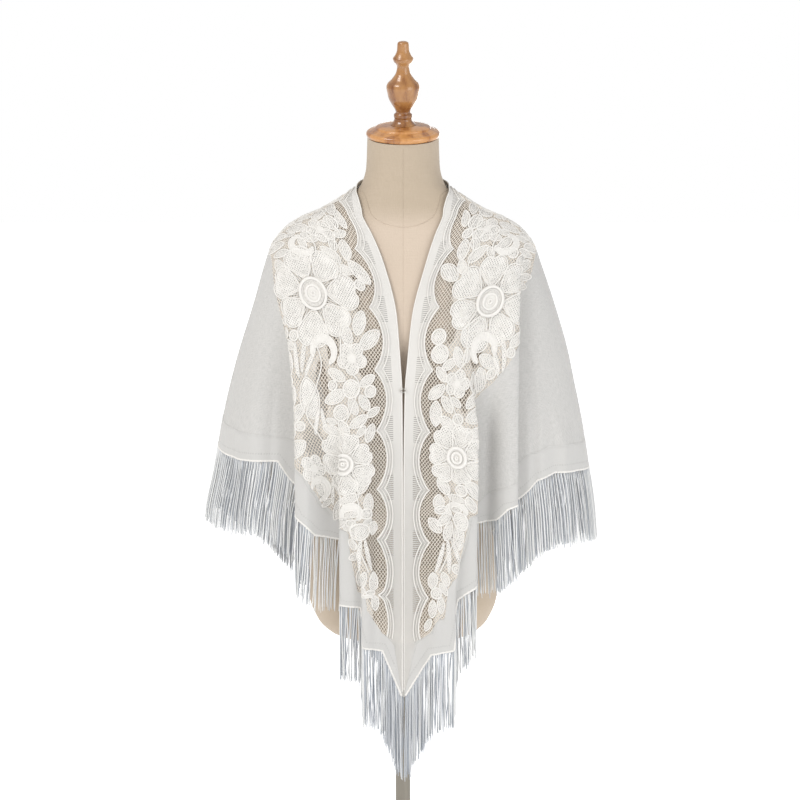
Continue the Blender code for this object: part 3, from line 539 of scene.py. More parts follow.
def drape_point(half, around, z):
    """A point of the shawl: pleats and folds moved out from the smooth section."""
    around, z = np.broadcast_arrays(np.asarray(around, float), np.asarray(z, float))
    side, front, back = sections(DRAPE, DRAPE_COLUMNS, (half, "front", "back"), z)
    x, y = ring(side, front, back, around)
    ahead_x, ahead_y = ring(side, front, back, around + 0.001)
    along = np.stack([ahead_x - x, ahead_y - y])
    along = along / np.maximum(np.hypot(*along), 1e-9)
    out = np.stack([along[1], -along[0]])
    on_front = np.cos(np.pi * around) > 0
    lift = np.zeros_like(x)
    shift = np.zeros_like(x)
    for name, *line, depth, lean in PLEATS:
        if name != half:
            continue
        fade, t = crease(x, z, *line)
        share = fade * on_front
        lift = lift - share * depth / 2 * t / np.sqrt(1 + t * t) * np.exp(-(t / PLEAT_REACH) ** 2)
        shift = shift - share * lean * LEAN_SCALE * t * np.exp(-t * t / 2)
    for name, face, *line, height in FOLDS:
        if name != half:
            continue
        fade, t = crease(x, z, *line)
        share = fade * (on_front if face == "front" else ~on_front)
        lift = lift + share * height * np.exp(-t * t)
    facing = np.clip(np.cos(np.pi * around), 0.0, 1.0)
    forward = bust(x, z, BUST_BELOW_CLOTH) * facing
    px = x + out[0] * lift + along[0] * shift
    py = y + out[1] * lift + along[1] * shift - forward
    return np.stack([px * SIGN[half], py, z], axis=-1)


def around_at(half, face, x, z):
    """The place round the section that lies x from the centre, on the front or the back."""
    side = float(section_size(DRAPE, DRAPE_COLUMNS, half, z))
    places = np.linspace(0.0, 0.5, 400)
    place = float(np.interp(min(x, side), ring(side, 1.0, 1.0, places)[0], places))
    return place if face == "front" else 1.0 - place


def outward(half, around, z):
    """The direction out of the cloth, square to its surface."""
    small = 0.0012
    across = drape_point(half, around + small, z) - drape_point(half, around - small, z)
    down = drape_point(half, around, z - small) - drape_point(half, around, z + small)
    return unit(np.cross(down, across) * SIGN[half])


def running_length(points):
    """Length from the first point of a path to each of its points."""
    steps = np.linalg.norm(np.diff(points, axis=0), axis=1)
    return np.concatenate([[0.0], np.cumsum(steps)])


# ---------------------------------------------------------------- the flat shawl laid on its drape

class Cloth:
    """One half of the shawl, read by distance along the long edge and away from it."""

    COLUMNS = 300
    SAMPLES = 220
    LEG_SAMPLES = 60

    def __init__(self, name):
        self.name = name
        reach = EDGE_COLUMNS.index(name)
        edge = [(around_at(name, row[0], row[reach], row[-1]), row[-1]) for row in EDGE]
        hem = [(around_at(name, face, x, z), z) for face, x, z in HEM[name]]
        self.edge = self.path(edge, rounded=True)
        self.hem = self.path(hem, rounded=False)
        corners = self.hem[2][::self.LEG_SAMPLES] / self.hem[2][-1]
        even = np.linspace(TIP_FRACTION, 1.0, self.COLUMNS)
        self.fractions = np.unique(np.concatenate([even, corners[corners > TIP_FRACTION]]))
        self.edge_length = self.edge[2][-1]
        self.hem_length = self.hem[2][-1]
        self.lay_threads()

    def path(self, places, rounded):
        """(around, z, length) along a line through (around, z) places."""
        places = np.array(places)
        legs = np.arange(len(places))
        fine = np.linspace(0, len(places) - 1, (len(places) - 1) * self.LEG_SAMPLES + 1)
        read = smooth_curve if rounded else (lambda x, y, at: np.interp(at, x, y))
        around, z = read(legs, places[:, 0], fine), read(legs, places[:, 1], fine)
        return around, z, running_length(drape_point(self.name, around, z))

    def at_path(self, path, fraction):
        """(around, z) on a path at fractions of its length."""
        reach = fraction * path[2][-1]
        return np.stack([np.interp(reach, path[2], path[0]), np.interp(reach, path[2], path[1])], axis=-1)

    def lay_threads(self):
        """The threads that run square from the long edge to the hem, one for each column."""
        f = self.fractions
        start, end = self.at_path(self.edge, f), self.at_path(self.hem, f)
        share = column(TURN, TURN_COLUMNS, "fraction")
        turn = np.stack([np.interp(f, share, column(TURN, TURN_COLUMNS, n)) for n in ("round", "z")], axis=-1)
        pull = eased((f - TURN[0][0]) / TURN_BLEND)[:, None]
        middle = pull * turn + (1 - pull) * (start + end) / 2
        control = 2 * middle - (start + end) / 2
        t = np.linspace(0.0, 1.0, self.SAMPLES)[None, :]
        weights = ((1 - t) ** 2, 2 * t * (1 - t), t ** 2)
        self.around = sum(w * p[:, :1] for w, p in zip(weights, (start, control, end))).clip(0.0, 1.0)
        self.z = sum(w * p[:, 1:] for w, p in zip(weights, (start, control, end)))
        bow = HEM_BOW * eased(f / BOW_FULL)[:, None] * BOW_SCALE
        self.z = self.z + bow * t ** 2 * (1 - t)
        points = drape_point(self.name, self.around, self.z)
        steps = np.linalg.norm(np.diff(points, axis=1), axis=2)
        self.away = np.concatenate([np.zeros((len(f), 1)), np.cumsum(steps, axis=1)], axis=1)
        self.length = self.away[:, -1]
        run = np.diff(points, axis=1) / np.maximum(steps[..., None], 1e-9)
        turning = np.arccos(np.clip((run[:, :-1] * run[:, 1:]).sum(axis=2), -1.0, 1.0))
        bend = np.concatenate([np.zeros((len(f), 2)), np.cumsum(turning, axis=1)], axis=1)
        self.effort = self.away + BEND_EFFORT * bend

    def reach(self, along):
        """How far the cloth runs away from the edge at places along it."""
        return np.interp(1.0 - along / self.edge_length, self.fractions, self.length)

    def place(self, along, away, lift=0.0, normals=False):
        """Points of the flat shawl on the drape, moved out by lift."""
        along, away = np.broadcast_arrays(np.asarray(along, float), np.asarray(away, float))
        shape = along.shape
        f = np.clip(1.0 - along.ravel() / self.edge_length, self.fractions[0], self.fractions[-1])
        low = np.clip(np.searchsorted(self.fractions, f) - 1, 0, len(self.fractions) - 2)
        t = (f - self.fractions[low]) / (self.fractions[low + 1] - self.fractions[low])
        around = np.zeros_like(f)
        z = np.zeros_like(f)
        for side, weight in ((0, 1 - t), (1, t)):
            rows = low + side
            order = np.argsort(rows, kind="stable")
            starts = np.flatnonzero(np.diff(rows[order], prepend=-1))
            for start, stop in zip(starts, np.append(starts[1:], len(order))):
                pick = order[start:stop]
                row = rows[pick[0]]
                d = away.ravel()[pick]
                around[pick] += weight[pick] * np.interp(d, self.away[row], self.around[row])
                z[pick] += weight[pick] * np.interp(d, self.away[row], self.z[row])
        points = drape_point(self.name, around, z)
        out = outward(self.name, around, z)
        lift = np.broadcast_to(np.asarray(lift, float), shape).ravel()
        points = (points + out * lift[:, None]).reshape(shape + (3,))
        return (points, out.reshape(shape + (3,))) if normals else points


@functools.lru_cache(maxsize=None)
def cloth(half):
    """The half's cloth, worked out once."""
    return Cloth(half)


def band_limit(reach):
    """Where the edge band ends on a thread of this length."""
    return np.minimum(BAND_WIDTH, BAND_SHARE * reach)


def lace_limit(half, reach, along):
    """Where the lace ends on a thread of this length: narrower below the pleat that hides its rim."""
    band = band_limit(reach)
    width = np.interp(along, *zip(*LACE_OUTER[half]))
    outer = np.minimum(width, np.maximum(reach - HEM_BORDER, band + LACE_SHARE * (reach - band)))
    return np.where(along < LACE_END, outer, band)


def scallop(along, crest=SCALLOP_CREST, cusp=SCALLOP_CUSP):
    """Distance of the scalloped line from the long edge."""
    phase = ((along - SCALLOP_FIRST) / SCALLOP_PERIOD) % 1.0
    return cusp - (cusp - crest) * np.sin(np.pi * phase) ** SCALLOP_ROUND


# ---------------------------------------------------------------- meshes

# Angles in degrees past which an edge is shown sharp: sheets, patches of lace, turned shapes, cords.
SHEET_ANGLE, PATCH_ANGLE, TURNED_ANGLE, ALL_SMOOTH = 50.0, 60.0, 40.0, 180.0


class Build:
    """Points, faces and flat places gathered for one piece."""

    def __init__(self):
        self.points, self.quads, self.flat, self.count = [], [], [], 0

    def add(self, points, quads, flat):
        """Add points with the faces that index them."""
        points = np.asarray(points, float).reshape(-1, 3)
        self.points.append(points)
        self.quads.append(np.asarray(quads, int).reshape(-1, 4) + self.count)
        self.flat.append(np.asarray(flat, float).reshape(-1, 2))
        self.count += len(points)

    def finish(self, name, material, smooth_angle=SHEET_ANGLE):
        """The piece as an object: quads whose last two corners agree become triangles."""
        points, quads = np.concatenate(self.points), np.concatenate(self.quads)
        flat = np.concatenate(self.flat)
        three = quads[:, 2] == quads[:, 3]
        loops = np.concatenate([quads[~three].ravel(), quads[three][:, :3].ravel()])
        sizes = np.concatenate([np.full((~three).sum(), 4), np.full(three.sum(), 3)])
        data = bpy.data.meshes.new(name)
        data.vertices.add(len(points))
        data.vertices.foreach_set("co", points.ravel())
        data.loops.add(len(loops))
        data.loops.foreach_set("vertex_index", loops)
        data.polygons.add(len(sizes))
        data.polygons.foreach_set("loop_start", np.concatenate([[0], np.cumsum(sizes)[:-1]]))
        data.polygons.foreach_set("loop_total", sizes)
        uv = data.uv_layers.new(name="flat")
        uv.data.foreach_set("uv", flat[loops].ravel())
        data.update(calc_edges=True)
        data.validate()
        data.shade_smooth()
        if smooth_angle < ALL_SMOOTH:
            data.set_sharp_from_angle(angle=math.radians(smooth_angle))
        made = bpy.data.objects.new(name, data)
        made.data.materials.append(material)
        bpy.context.scene.collection.objects.link(made)
        return made


def grid_quads(rows, columns, start=0, flip=False):
    """Faces of a grid of points, row by row."""
    i = np.arange(rows - 1)[:, None] * columns + np.arange(columns - 1)[None, :] + start
    quads = np.stack([i, i + 1, i + columns + 1, i + columns], axis=-1).reshape(-1, 4)
    return quads[:, ::-1] if flip else quads


def closed_plate(build, outer, inner, flat):
    """A closed plate between two grids of points."""
    rows, columns = outer.shape[:2]
    n = rows * columns
    index = np.arange(n).reshape(rows, columns)
    quads = [grid_quads(rows, columns), grid_quads(rows, columns, n, flip=True)]
    rims = (index[0], index[-1][::-1], index[:, 0][::-1], index[:, -1])
    for rim in rims:
        a, b = rim[:-1], rim[1:]
        quads.append(np.stack([b, a, a + n, b + n], axis=-1))
    points = np.concatenate([outer.reshape(-1, 3), inner.reshape(-1, 3)])
    build.add(points, np.concatenate(quads), np.concatenate([flat.reshape(-1, 2)] * 2))


def wrapped_quads(here, following):
    """Faces between rings of points and the rings that follow them."""
    corners = [here, np.roll(here, -1, axis=1), np.roll(following, -1, axis=1), following]
    return np.stack(corners, axis=-1).reshape(-1, 4)


def shell(build, half, low, high, rows, wall, lift=0.0, from_hem=False):
    """A thin wall of the cloth between two lines, each a function of half, reach and place along the edge."""
    sheet = cloth(half)
    away = np.zeros((len(sheet.fractions), rows + 1))
    for i, reach in enumerate(sheet.length):
        along = (1.0 - sheet.fractions[i]) * sheet.edge_length
        ends = np.interp([low(half, reach, along), high(half, reach, along)], sheet.away[i], sheet.effort[i])
        away[i] = np.interp(np.linspace(*ends, rows + 1), sheet.effort[i], sheet.away[i])
    around = np.stack([np.interp(d, a, b) for d, a, b in zip(away, sheet.away, sheet.around)])
    z = np.stack([np.interp(d, a, b) for d, a, b in zip(away, sheet.away, sheet.z)])
    points, normals = drape_point(half, around, z), outward(half, around, z)
    along = np.broadcast_to(((1.0 - sheet.fractions) * sheet.edge_length)[:, None], away.shape)
    flat = np.stack([along, sheet.length[:, None] - away if from_hem else away], axis=-1)
    outer, inner = points + normals * (lift + wall / 2), points + normals * (lift - wall / 2)
    if half == "left":
        outer, inner, flat = outer[:, ::-1], inner[:, ::-1], flat[:, ::-1]
    closed_plate(build, outer, inner, flat)


def tube(build, half, path, radius, lift, closed=False, sides=5, flatten=1.0):
    """A cord along flat places (along, away) on the cloth."""
    path = np.asarray(path, float)
    centres, normals = cloth(half).place(path[:, 0], path[:, 1], lift, normals=True)
    bare_tube(build, centres, normals, radius, closed, sides, flatten, path)


def bare_tube(build, centres, normals, radius, closed=False, sides=5, flatten=1.0, flat=None):
    """A cord through points, with the directions that are up for it."""
    n = len(centres)
    if closed:
        along = np.roll(centres, -1, axis=0) - np.roll(centres, 1, axis=0)
    else:
        along = np.gradient(centres, axis=0)
    along = unit(along)
    side = unit(np.cross(along, normals))
    up = np.cross(side, along)
    turn = 2 * np.pi * np.arange(sides) / sides
    radius = np.broadcast_to(np.asarray(radius, float), (n,))[:, None, None]
    offset = np.cos(turn)[None, :, None] * side[:, None] + flatten * np.sin(turn)[None, :, None] * up[:, None]
    points = centres[:, None] + radius * offset
    index = np.arange(n * sides).reshape(n, sides)
    nxt = np.roll(index, -1, axis=0) if closed else index[1:]
    here = index if closed else index[:-1]
    quads = wrapped_quads(here, nxt)
    if not closed:
        caps = []
        for loop in (index[0][::-1], index[-1]):
            caps += [(loop[0], loop[k], loop[k + 1], loop[k + 1]) for k in range(1, sides - 1)]
        quads = np.concatenate([quads, np.array(caps)])
    if flat is None:
        flat = np.stack([running_length(centres), np.zeros(n)], axis=-1)
    build.add(points, quads, np.repeat(flat[:, None], sides, axis=1))


def laid_plate(build, half, flat, height, turned):
    """A closed plate on the cloth over a grid of flat places, whose rows run the other way on one half."""
    points, normals = cloth(half).place(flat[..., 0], flat[..., 1], height, normals=True)
    inner = points - normals * PATCH_WALL
    if half == turned:
        points, inner, flat = points[:, ::-1], inner[:, ::-1], flat[:, ::-1]
    closed_plate(build, points, inner, flat)


def patch(build, half, spine, width, lift, crown, rows=5):
    """A raised patch: places on a spine, half-widths across it, crowned in the middle."""
    spine = np.asarray(spine, float)
    along = unit(np.gradient(spine, axis=0))
    side = np.stack([-along[:, 1], along[:, 0]], axis=1)
    across = np.linspace(-1, 1, rows)
    flat = spine[:, None] + side[:, None] * (across[None, :, None] * np.asarray(width)[:, None, None])
    height = lift + crown * (1 - across ** 2)[None, :] * np.ones((len(spine), 1))
    laid_plate(build, half, flat, height, "left")


def inside(path, along, away):
    """Whether flat places lie inside a closed outline."""
    found = np.zeros(along.shape, bool)
    near = (
        (along > path[:, 0].min()) & (along < path[:, 0].max())
        & (away > path[:, 1].min()) & (away < path[:, 1].max()))
    u, v = along[near], away[near]
    hit = np.zeros(u.shape, bool)
    for (a, b), (c, d) in zip(path, np.roll(path, -1, axis=0)):
        crosses = (b > v) != (d > v)
        if abs(d - b) > 1e-12:
            hit ^= crosses & (u < (c - a) * (v - b) / (d - b) + a)
    found[near] = hit
    return found


# ---------------------------------------------------------------- motifs of the lace

def turned_path(path, along, away, turn):
    """Local places (lengthwise, across) turned and moved into the flat shawl."""
    cosine, sine = math.cos(math.radians(turn)), math.sin(math.radians(turn))
    x, y = path[:, 0], path[:, 1]
    return np.stack([along + x * cosine - y * sine, away + x * sine + y * cosine], axis=1)


def rounded_line(places, closed, parts=3):
    """A smooth line through places, with so many parts to each stretch."""
    places = np.asarray(places, float)
    if closed:
        padded = np.concatenate([places[-1:], places, places[:2]])
    else:
        padded = np.concatenate([places[:1], places, places[-1:]])
    t = (np.arange(parts) / parts)[:, None]
    stretches = []
    for a, b, c, d in zip(padded, padded[1:], padded[2:], padded[3:]):
        bend = 2 * a - 5 * b + 4 * c - d
        stretches.append(b + 0.5 * t * (c - a + t * (bend + t * (3 * (b - c) + d - a))))
    line = np.concatenate(stretches)
    return line if closed else np.concatenate([line, places[-1:]])


# Outlines of a petal: share of the flower's radius, share of half the angle between petals.
PETAL = ((0.93, 0.0), (1.00, 0.26), (0.96, 0.66), (0.80, 0.98), (0.56, 0.86), (0.36, 0.50), (0.32, 0.0))
TULIP = ((0.80, 0.0), (0.66, 0.14), (0.80, 0.52), (0.66, 0.62), (0.50, 0.46), (0.42, 0.20), (0.40, 0.0))


def petal_line(shape, size, count, scale=1.0):
    """A petal's outline from half of it, pointing along the first axis."""
    half = np.array(shape)
    whole = np.concatenate([half, half[-2:0:-1] * (1, -1)])
    turn = whole[:, 1] * math.pi / count
    places = np.stack([whole[:, 0] * size * np.cos(turn), whole[:, 0] * size * np.sin(turn)], axis=1)
    middle = places.mean(axis=0)
    return rounded_line(middle + (places - middle) * scale, closed=True)


def almond(length, width, points=26):
    """A pointed oval as an outline."""
    t = np.linspace(0, 2 * np.pi, points, endpoint=False)
    x = length / 2 * np.cos(t)
    y = width / 2 * np.sin(t) * np.abs(np.sin(t)) ** 0.35
    return np.stack([x, y], axis=1)


def fill_between(build, half, outline, lift, crown, rows=5):
    """A crowned patch inside an outline that starts and is halved at its ends."""
    n = len(outline) // 2
    upper, lower = outline[:n + 1], np.concatenate([outline[n:], outline[:1]])[::-1]
    spine, width = (upper + lower) / 2, np.linalg.norm(upper - lower, axis=1) / 2
    across = np.linspace(-1, 1, rows)
    flat = spine[:, None] + (lower - upper)[:, None] / 2 * across[None, :, None]
    fullness = np.minimum(1, width / max(width.max(), 1e-9))
    height = lift + crown * (1 - across ** 2)[None, :] * fullness[:, None]
    laid_plate(build, half, flat, height, "right")


class Lace:
    """Gathers the motifs of one half: dense patches, thick cords and the outlines that the net stops at."""

    def __init__(self, half):
        self.half, self.outlines = half, []
        self.fills, self.petals, self.open_fills, self.cords = Build(), Build(), Build(), Build()

    def outline(self, path, radius=OUTLINE, lift=0.0009, covers=True):
        """A closed cord."""
        tube(self.cords, self.half, path, radius, lift, closed=True, flatten=0.75)
        if covers:
            self.outlines.append(path)

    def leaf(self, along, away, size, turn):
        """An almond leaf with a double outline and a rib."""
        width = 0.50 * size
        self.outline(turned_path(almond(size, width), along, away, turn), 0.0012, 0.0008)
        inner = turned_path(almond(size * 0.94, width * 0.88), along, away, turn)
        fill_between(self.open_fills, self.half, inner, 0.0004, 0.0003)
        heart = turned_path(almond(size * 0.62, width * 0.44, 18), along, away, turn)
        self.outline(heart, FINE_LINE, 0.0008, False)
        rib = np.linspace([-0.36 * size, 0.0], [0.36 * size, 0.0], 6)
        tube(self.cords, self.half, turned_path(rib, along, away, turn), 0.0005, 0.0009, sides=4)

    def blade(self, along, away, size, turn):
        """A long narrow leaf, slightly bent."""
        t = np.linspace(-0.5, 0.5, 14)
        spine = np.stack([t * size, 0.10 * size * (0.25 - t * t)], axis=1)
        width = 0.055 * size * np.cos(np.pi * t) ** 0.6 + 0.0003
        side = np.stack([np.zeros_like(t), width], axis=1)
        whole = turned_path(np.concatenate([spine + side, (spine - side)[::-1]]), along, away, turn)
        patch(self.open_fills, self.half, turned_path(spine, along, away, turn), width, PATCH_LIFT, 0.0004)
        self.outlines.append(whole)
        tube(self.cords, self.half, whole, 0.0008, 0.0009, closed=True, sides=4)

    def bud(self, along, away, size, turn):
        """A ring with a smaller ring inside."""
        round_line = circle(22)
        self.outline(turned_path(round_line * size, along, away, turn), 0.0015, 0.0009)
        disc = turned_path(round_line * size * 0.95, along, away, turn)
        fill_between(self.open_fills, self.half, disc, 0.0004, 0.0002)
        self.outline(turned_path(round_line * size * 0.48, along, away, turn), 0.0009, 0.0010, False)

    def rosette(self, along, away, size, turn):
        """Five round lobes about a small ring with knots."""
        round_line = circle(16)
        for k in range(5):
            lobe = round_line * size * 0.42 + np.array([size * 0.60, 0.0])
            path = turned_path(lobe, along, away, turn + 72 * k)
            self.outline(path, 0.0013)
            fill_between(self.petals, self.half, path, 0.0004, 0.0003)
            seed = round_line * size * 0.14 + np.array([size * 0.62, 0.0])
            self.outline(turned_path(seed, along, away, turn + 72 * k), 0.0008, 0.0011, False)
        disc = turned_path(round_line * size * 0.34, along, away, turn)
        fill_between(self.fills, self.half, disc, 0.0012, 0.0006)
        self.outline(turned_path(round_line * size * 0.30, along, away, turn), 0.0009, 0.0018, False)

    def scroll(self, along, away, size, turn):
        """A crescent that ends in two small knobs."""
        t = np.linspace(math.radians(-125), math.radians(125), 22)
        width = 0.26 * size * np.cos(np.linspace(-1.25, 1.25, 22)) + 0.0010
        spine = np.stack([np.cos(t) * size, np.sin(t) * size], axis=1)
        radial = spine / size
        outer, inner = spine + radial * width[:, None], spine - radial * width[:, None]
        whole = turned_path(np.concatenate([outer, inner[::-1]]), along, away, turn)
        patch(self.fills, self.half, turned_path(spine, along, away, turn), width, PATCH_LIFT, 0.0006)
        self.outline(whole)
        for end in (spine[0], spine[-1]):
            knob = turned_path(circle(12) * 0.0028 + end, along, away, turn)
            fill_between(self.fills, self.half, knob, 0.0020, 0.0012)

    def stem(self, places):
        """A bare cord that links the motifs."""
        tube(self.cords, self.half, rounded_line(places, closed=False, parts=5), 0.0012, 0.0012, sides=5)

    def flower(self, along, away, size, turn):
        """A large flower: broad notched petals with tulip insides, stitches between, a ringed centre."""
        count = 7
        for k in range(count):
            angle = turn + 360 / count * k
            reach = size * (1 + 0.06 * math.sin(2.4 * k + turn))
            whole = turned_path(petal_line(PETAL, reach, count), along, away, angle)
            self.outline(whole, 0.0013, 0.0010)
            inner = turned_path(petal_line(PETAL, reach, count, 0.94), along, away, angle)
            fill_between(self.petals, self.half, inner, 0.0005, 0.0004)
            tulip = turned_path(petal_line(TULIP, reach, count), along, away, angle)
            self.outline(tulip, 0.0009, 0.0012, False)
            for share in (-0.5, 0.5):
                vein = np.array([[0.42, 0.10 * share], [0.60, 0.30 * share], [0.84, 0.55 * share]]) * reach
                path = rounded_line(vein * (1.0, 2.0 / count), closed=False)
                tube(self.cords, self.half, turned_path(path, along, away, angle), 0.0006, 0.0011, sides=4)
            for side in (-1, 1):
                spoke = np.linspace([size * 0.33, 0.0], [size * 0.56, 0.0], 5)
                path = turned_path(spoke, along, away, angle + 180 / count + 3.0 * side)
                tube(self.cords, self.half, path, 0.0008, 0.0012, sides=4)
        round_line = circle(30)
        disc = turned_path(round_line * size * 0.28, along, away, turn)
        fill_between(self.fills, self.half, disc, 0.0010, 0.0004)
        for share, radius in ((0.305, 0.0030), (0.250, 0.0008), (0.165, 0.0024), (0.045, 0.0018)):
            line = turned_path(round_line * size * share, along, away, turn)
            self.outline(line, radius, 0.0018, share > 0.28)
        for k in range(16):
            stitch = np.linspace([size * 0.175, 0.0], [size * 0.24, 0.0], 3)
            tube(self.cords, self.half, turned_path(stitch, along, away, 22.5 * k), 0.0005, 0.0018, sides=4)


def beside_bare(half, along, away):
    """How far a place is from the nearest bare one, below zero inside it."""
    distances = []
    for u, v, length, width in BARE[half]:
        distances.append((np.hypot((along - u) / length, (away - v) / width) - 1.0) * width)
    return np.minimum.reduce(distances)


def to_outline(outline, along, away):
    """Distance from each place to an outline, below zero inside it, and the nearest point on it."""
    steps = np.hypot(along[:, None] - outline[None, :, 0], away[:, None] - outline[None, :, 1])
    nearest = steps.argmin(axis=1)
    within = inside(outline, along, away)
    return np.where(within, -1.0, steps[np.arange(len(along)), nearest]), outline[nearest]


def fill_gaps(made, half):
    """Small leaves and buds in the bare places between the motifs, the widest gap first."""
    sheet, chance = cloth(half), np.random.default_rng(FILLER_SEED[half])
    places = np.arange(FILLER_GRID, LACE_END - 0.06, FILLER_GRID), np.arange(0.04, LACE_WIDTH, FILLER_GRID)
    along, away = (axis.ravel() for axis in np.meshgrid(*places))
    room = lace_limit(half, sheet.reach(along), along) - away
    window = WINDOW * (0.8 + 0.4 * np.sin(along * 2 * math.pi / 0.21) ** 2)
    keep = (room > FILLER_LEAST) & (away > scallop(along) + window)
    along, away = along[keep], away[keep]
    gap = np.minimum.reduce([room[keep], along + 0.002, beside_bare(half, along, away) + 0.002])
    for outline in made.outlines:
        gap = np.minimum(gap, to_outline(outline, along, away)[0])
    for _ in range(FILLERS):
        widest = int(np.argmax(gap))
        clear = gap[widest]
        if clear < FILLER_LEAST:
            break
        spot = slice(widest, widest + 1)
        u, v = along[widest], away[widest]
        found = [to_outline(outline, along[spot], away[spot]) for outline in made.outlines]
        near = min(found, key=lambda one: one[0][0])[1][0]
        turn = math.degrees(math.atan2(near[1] - v, near[0] - u)) + 90 + chance.normal(0, 14)
        if chance.uniform() < FILLER_BUDS:
            made.bud(u, v, min(clear * 0.95, 0.012), 0)
        else:
            made.leaf(u, v, min(clear * chance.uniform(2.7, 3.3), 0.042), turn)
        gap = np.minimum(gap, to_outline(made.outlines[-1], along, away)[0])


@functools.lru_cache(maxsize=None)
def lace(half):
    """The half's motifs, laid out once."""
    made = Lace(half)
    for halves, kind, along, away, size, turn in MOTIFS:
        copies = [(along, turn)]
        if MIRRORED_FROM < along < MIRRORED_TO:
            copies.append((2 * MIRROR_ALONG - along, 180 - turn))
        for place, angle in copies:
            room = float(lace_limit(half, cloth(half).reach(place), place)) - away
            if halves in ("both", half) and room > 0.25 * size and beside_bare(half, place, away) > 0.0:
                getattr(made, kind)(place, away, size, angle)
    for places in STEMS:
        rooms = [float(lace_limit(half, cloth(half).reach(along), along)) - away for along, away in places]
        if min(rooms) > 0:
            made.stem(places)
            if MIRRORED_FROM < places[-1][0] < MIRRORED_TO:
                made.stem([(2 * MIRROR_ALONG - along, away) for along, away in places])
    fill_gaps(made, half)
    return made


# ---------------------------------------------------------------- shader maths

def maths(operation, swapped=False):
    """A method that adds one Math node."""
    def method(self, other=0.0):
        first, second = (other, self) if swapped else (self, other)
        return self.finish.node("ShaderNodeMath", {"operation": operation}, {0: first, 1: second})
    return method


class Value:
    """A socket that carries a number: arithmetic on it adds Math nodes."""

    def __init__(self, finish, socket):
        self.finish, self.socket = finish, socket

    __add__, __radd__ = maths("ADD"), maths("ADD", True)
    __sub__, __rsub__ = maths("SUBTRACT"), maths("SUBTRACT", True)
    __mul__, __rmul__ = maths("MULTIPLY"), maths("MULTIPLY", True)
    __truediv__, __rtruediv__ = maths("DIVIDE"), maths("DIVIDE", True)
    __pow__, __mod__, __lt__ = maths("POWER"), maths("FLOORED_MODULO"), maths("LESS_THAN")
    sine, absolute = maths("SINE"), maths("ABSOLUTE")

    def wave(self, period):
        """Even waves from -1 to 1."""
        return (self * (2 * math.pi / period)).sine()

    def ribs(self, period):
        """Even waves from 0 to 1."""
        return self.wave(period) * 0.5 + 0.5


class Nodes:
    """A tree whose nodes are made one way."""

    def __init__(self, tree):
        self.tree = tree

    def node(self, kind, settings=None, inputs=None, output=0):
        """A node of a type, its settings made first, with values or links on its sockets."""
        made = self.tree.nodes.new(kind)
        for key, value in (settings or {}).items():
            if key == "stops":
                ramp = made.color_ramp
                while len(ramp.elements) < len(value):
                    ramp.elements.new(0.5)
                for element, (place, colour) in zip(ramp.elements, value):
                    element.position, element.color = place, (*colour, 1.0)
            else:
                setattr(made, key, value)
        for key, value in (inputs or {}).items():
            if isinstance(value, Value):
                self.tree.links.new(value.socket, made.inputs[key])
            else:
                made.inputs[key].default_value = value
        return Value(self, made.outputs[output])


class Finish(Nodes):
    """A Principled material."""

    def __init__(self, name, colour, roughness, metallic=0.0, **sockets):
        self.material = bpy.data.materials.new(name)
        self.material.use_nodes = True
        super().__init__(self.material.node_tree)
        self.shader = self.tree.nodes["Principled BSDF"]
        self.shader.inputs["Base Color"].default_value = (*colour, 1.0)
        self.shader.inputs["Roughness"].default_value = roughness
        self.shader.inputs["Metallic"].default_value = metallic
        for socket, value in sockets.items():
            self.shader.inputs[socket.replace("_", " ")].default_value = value

    def feed(self, socket, value):
        """Link a value to the shader."""
        self.tree.links.new(value.socket, self.shader.inputs[socket])

    def flat_place(self):
        """The place in the flat cloth: vector, distance along, distance away."""
        uv = self.node("ShaderNodeUVMap", {"uv_map": "flat"})
        split = {"Vector": uv}
        along = self.node("ShaderNodeSeparateXYZ", None, split, "X")
        away = self.node("ShaderNodeSeparateXYZ", None, split, "Y")
        return uv, along, away

    def object_place(self):
        """The place in the object."""
        return self.node("ShaderNodeTexCoord", None, None, "Object")

    def noise(self, place, scale, detail=3.0, rough=0.55):
        """Soft noise from 0 to 1."""
        return self.node("ShaderNodeTexNoise", None, {
            "Vector": place, "Scale": scale, "Detail": detail, "Roughness": rough}, 0)

    def stretched(self, place, scale):
        """A place scaled along each axis."""
        return self.node("ShaderNodeMapping", None, {"Vector": place, "Scale": scale})

    def streaks(self, place, scale, detail=2.0, rough=0.55):
        """Noise drawn out along the axes with the smaller scales."""
        return self.noise(self.stretched(place, scale), 1.0, detail, rough)

    def weave(self, place, one, other):
        """Two sets of threads that cross."""
        return self.streaks(place, one) * 0.5 + self.streaks(place, other) * 0.5

    def tint(self, value, dark, pale):
        """Feed the base colour with a mix of two tones."""
        self.feed("Base Color", self.colours(value, dark, pale))

    def colours(self, value, low, high):
        """A colour between two by a value."""
        return self.node("ShaderNodeMix", {"data_type": "RGBA"}, {
            "Factor": value, 6: (*low, 1.0), 7: (*high, 1.0)}, 2)

    def clamp(self, value, low, high):
        """A value spread from low..high to 0..1, softly."""
        return self.node("ShaderNodeMapRange", {"interpolation_type": "SMOOTHSTEP"}, {
            "Value": value, "From Min": low, "From Max": high}, 0)

    def bump(self, height, distance, strength=1.0):
        """Relief that feeds the shader's normal."""
        made = self.node("ShaderNodeBump", None, {
            "Height": height, "Distance": distance, "Strength": strength})
        self.feed("Normal", made)


def toned(colour, *factors):
    """A tone of a colour, by one factor or by one for each channel."""
    return tuple(min(1.0, c * f) for c, f in zip(colour, factors * (4 - len(factors))))


def dress(piece, slot, *nodes):
    """Let a piece ride on the part and stand for its nodes; the slot is not used."""
    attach(piece, "root")
    if nodes:
        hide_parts(*nodes)


# ---------------------------------------------------------------- finishes

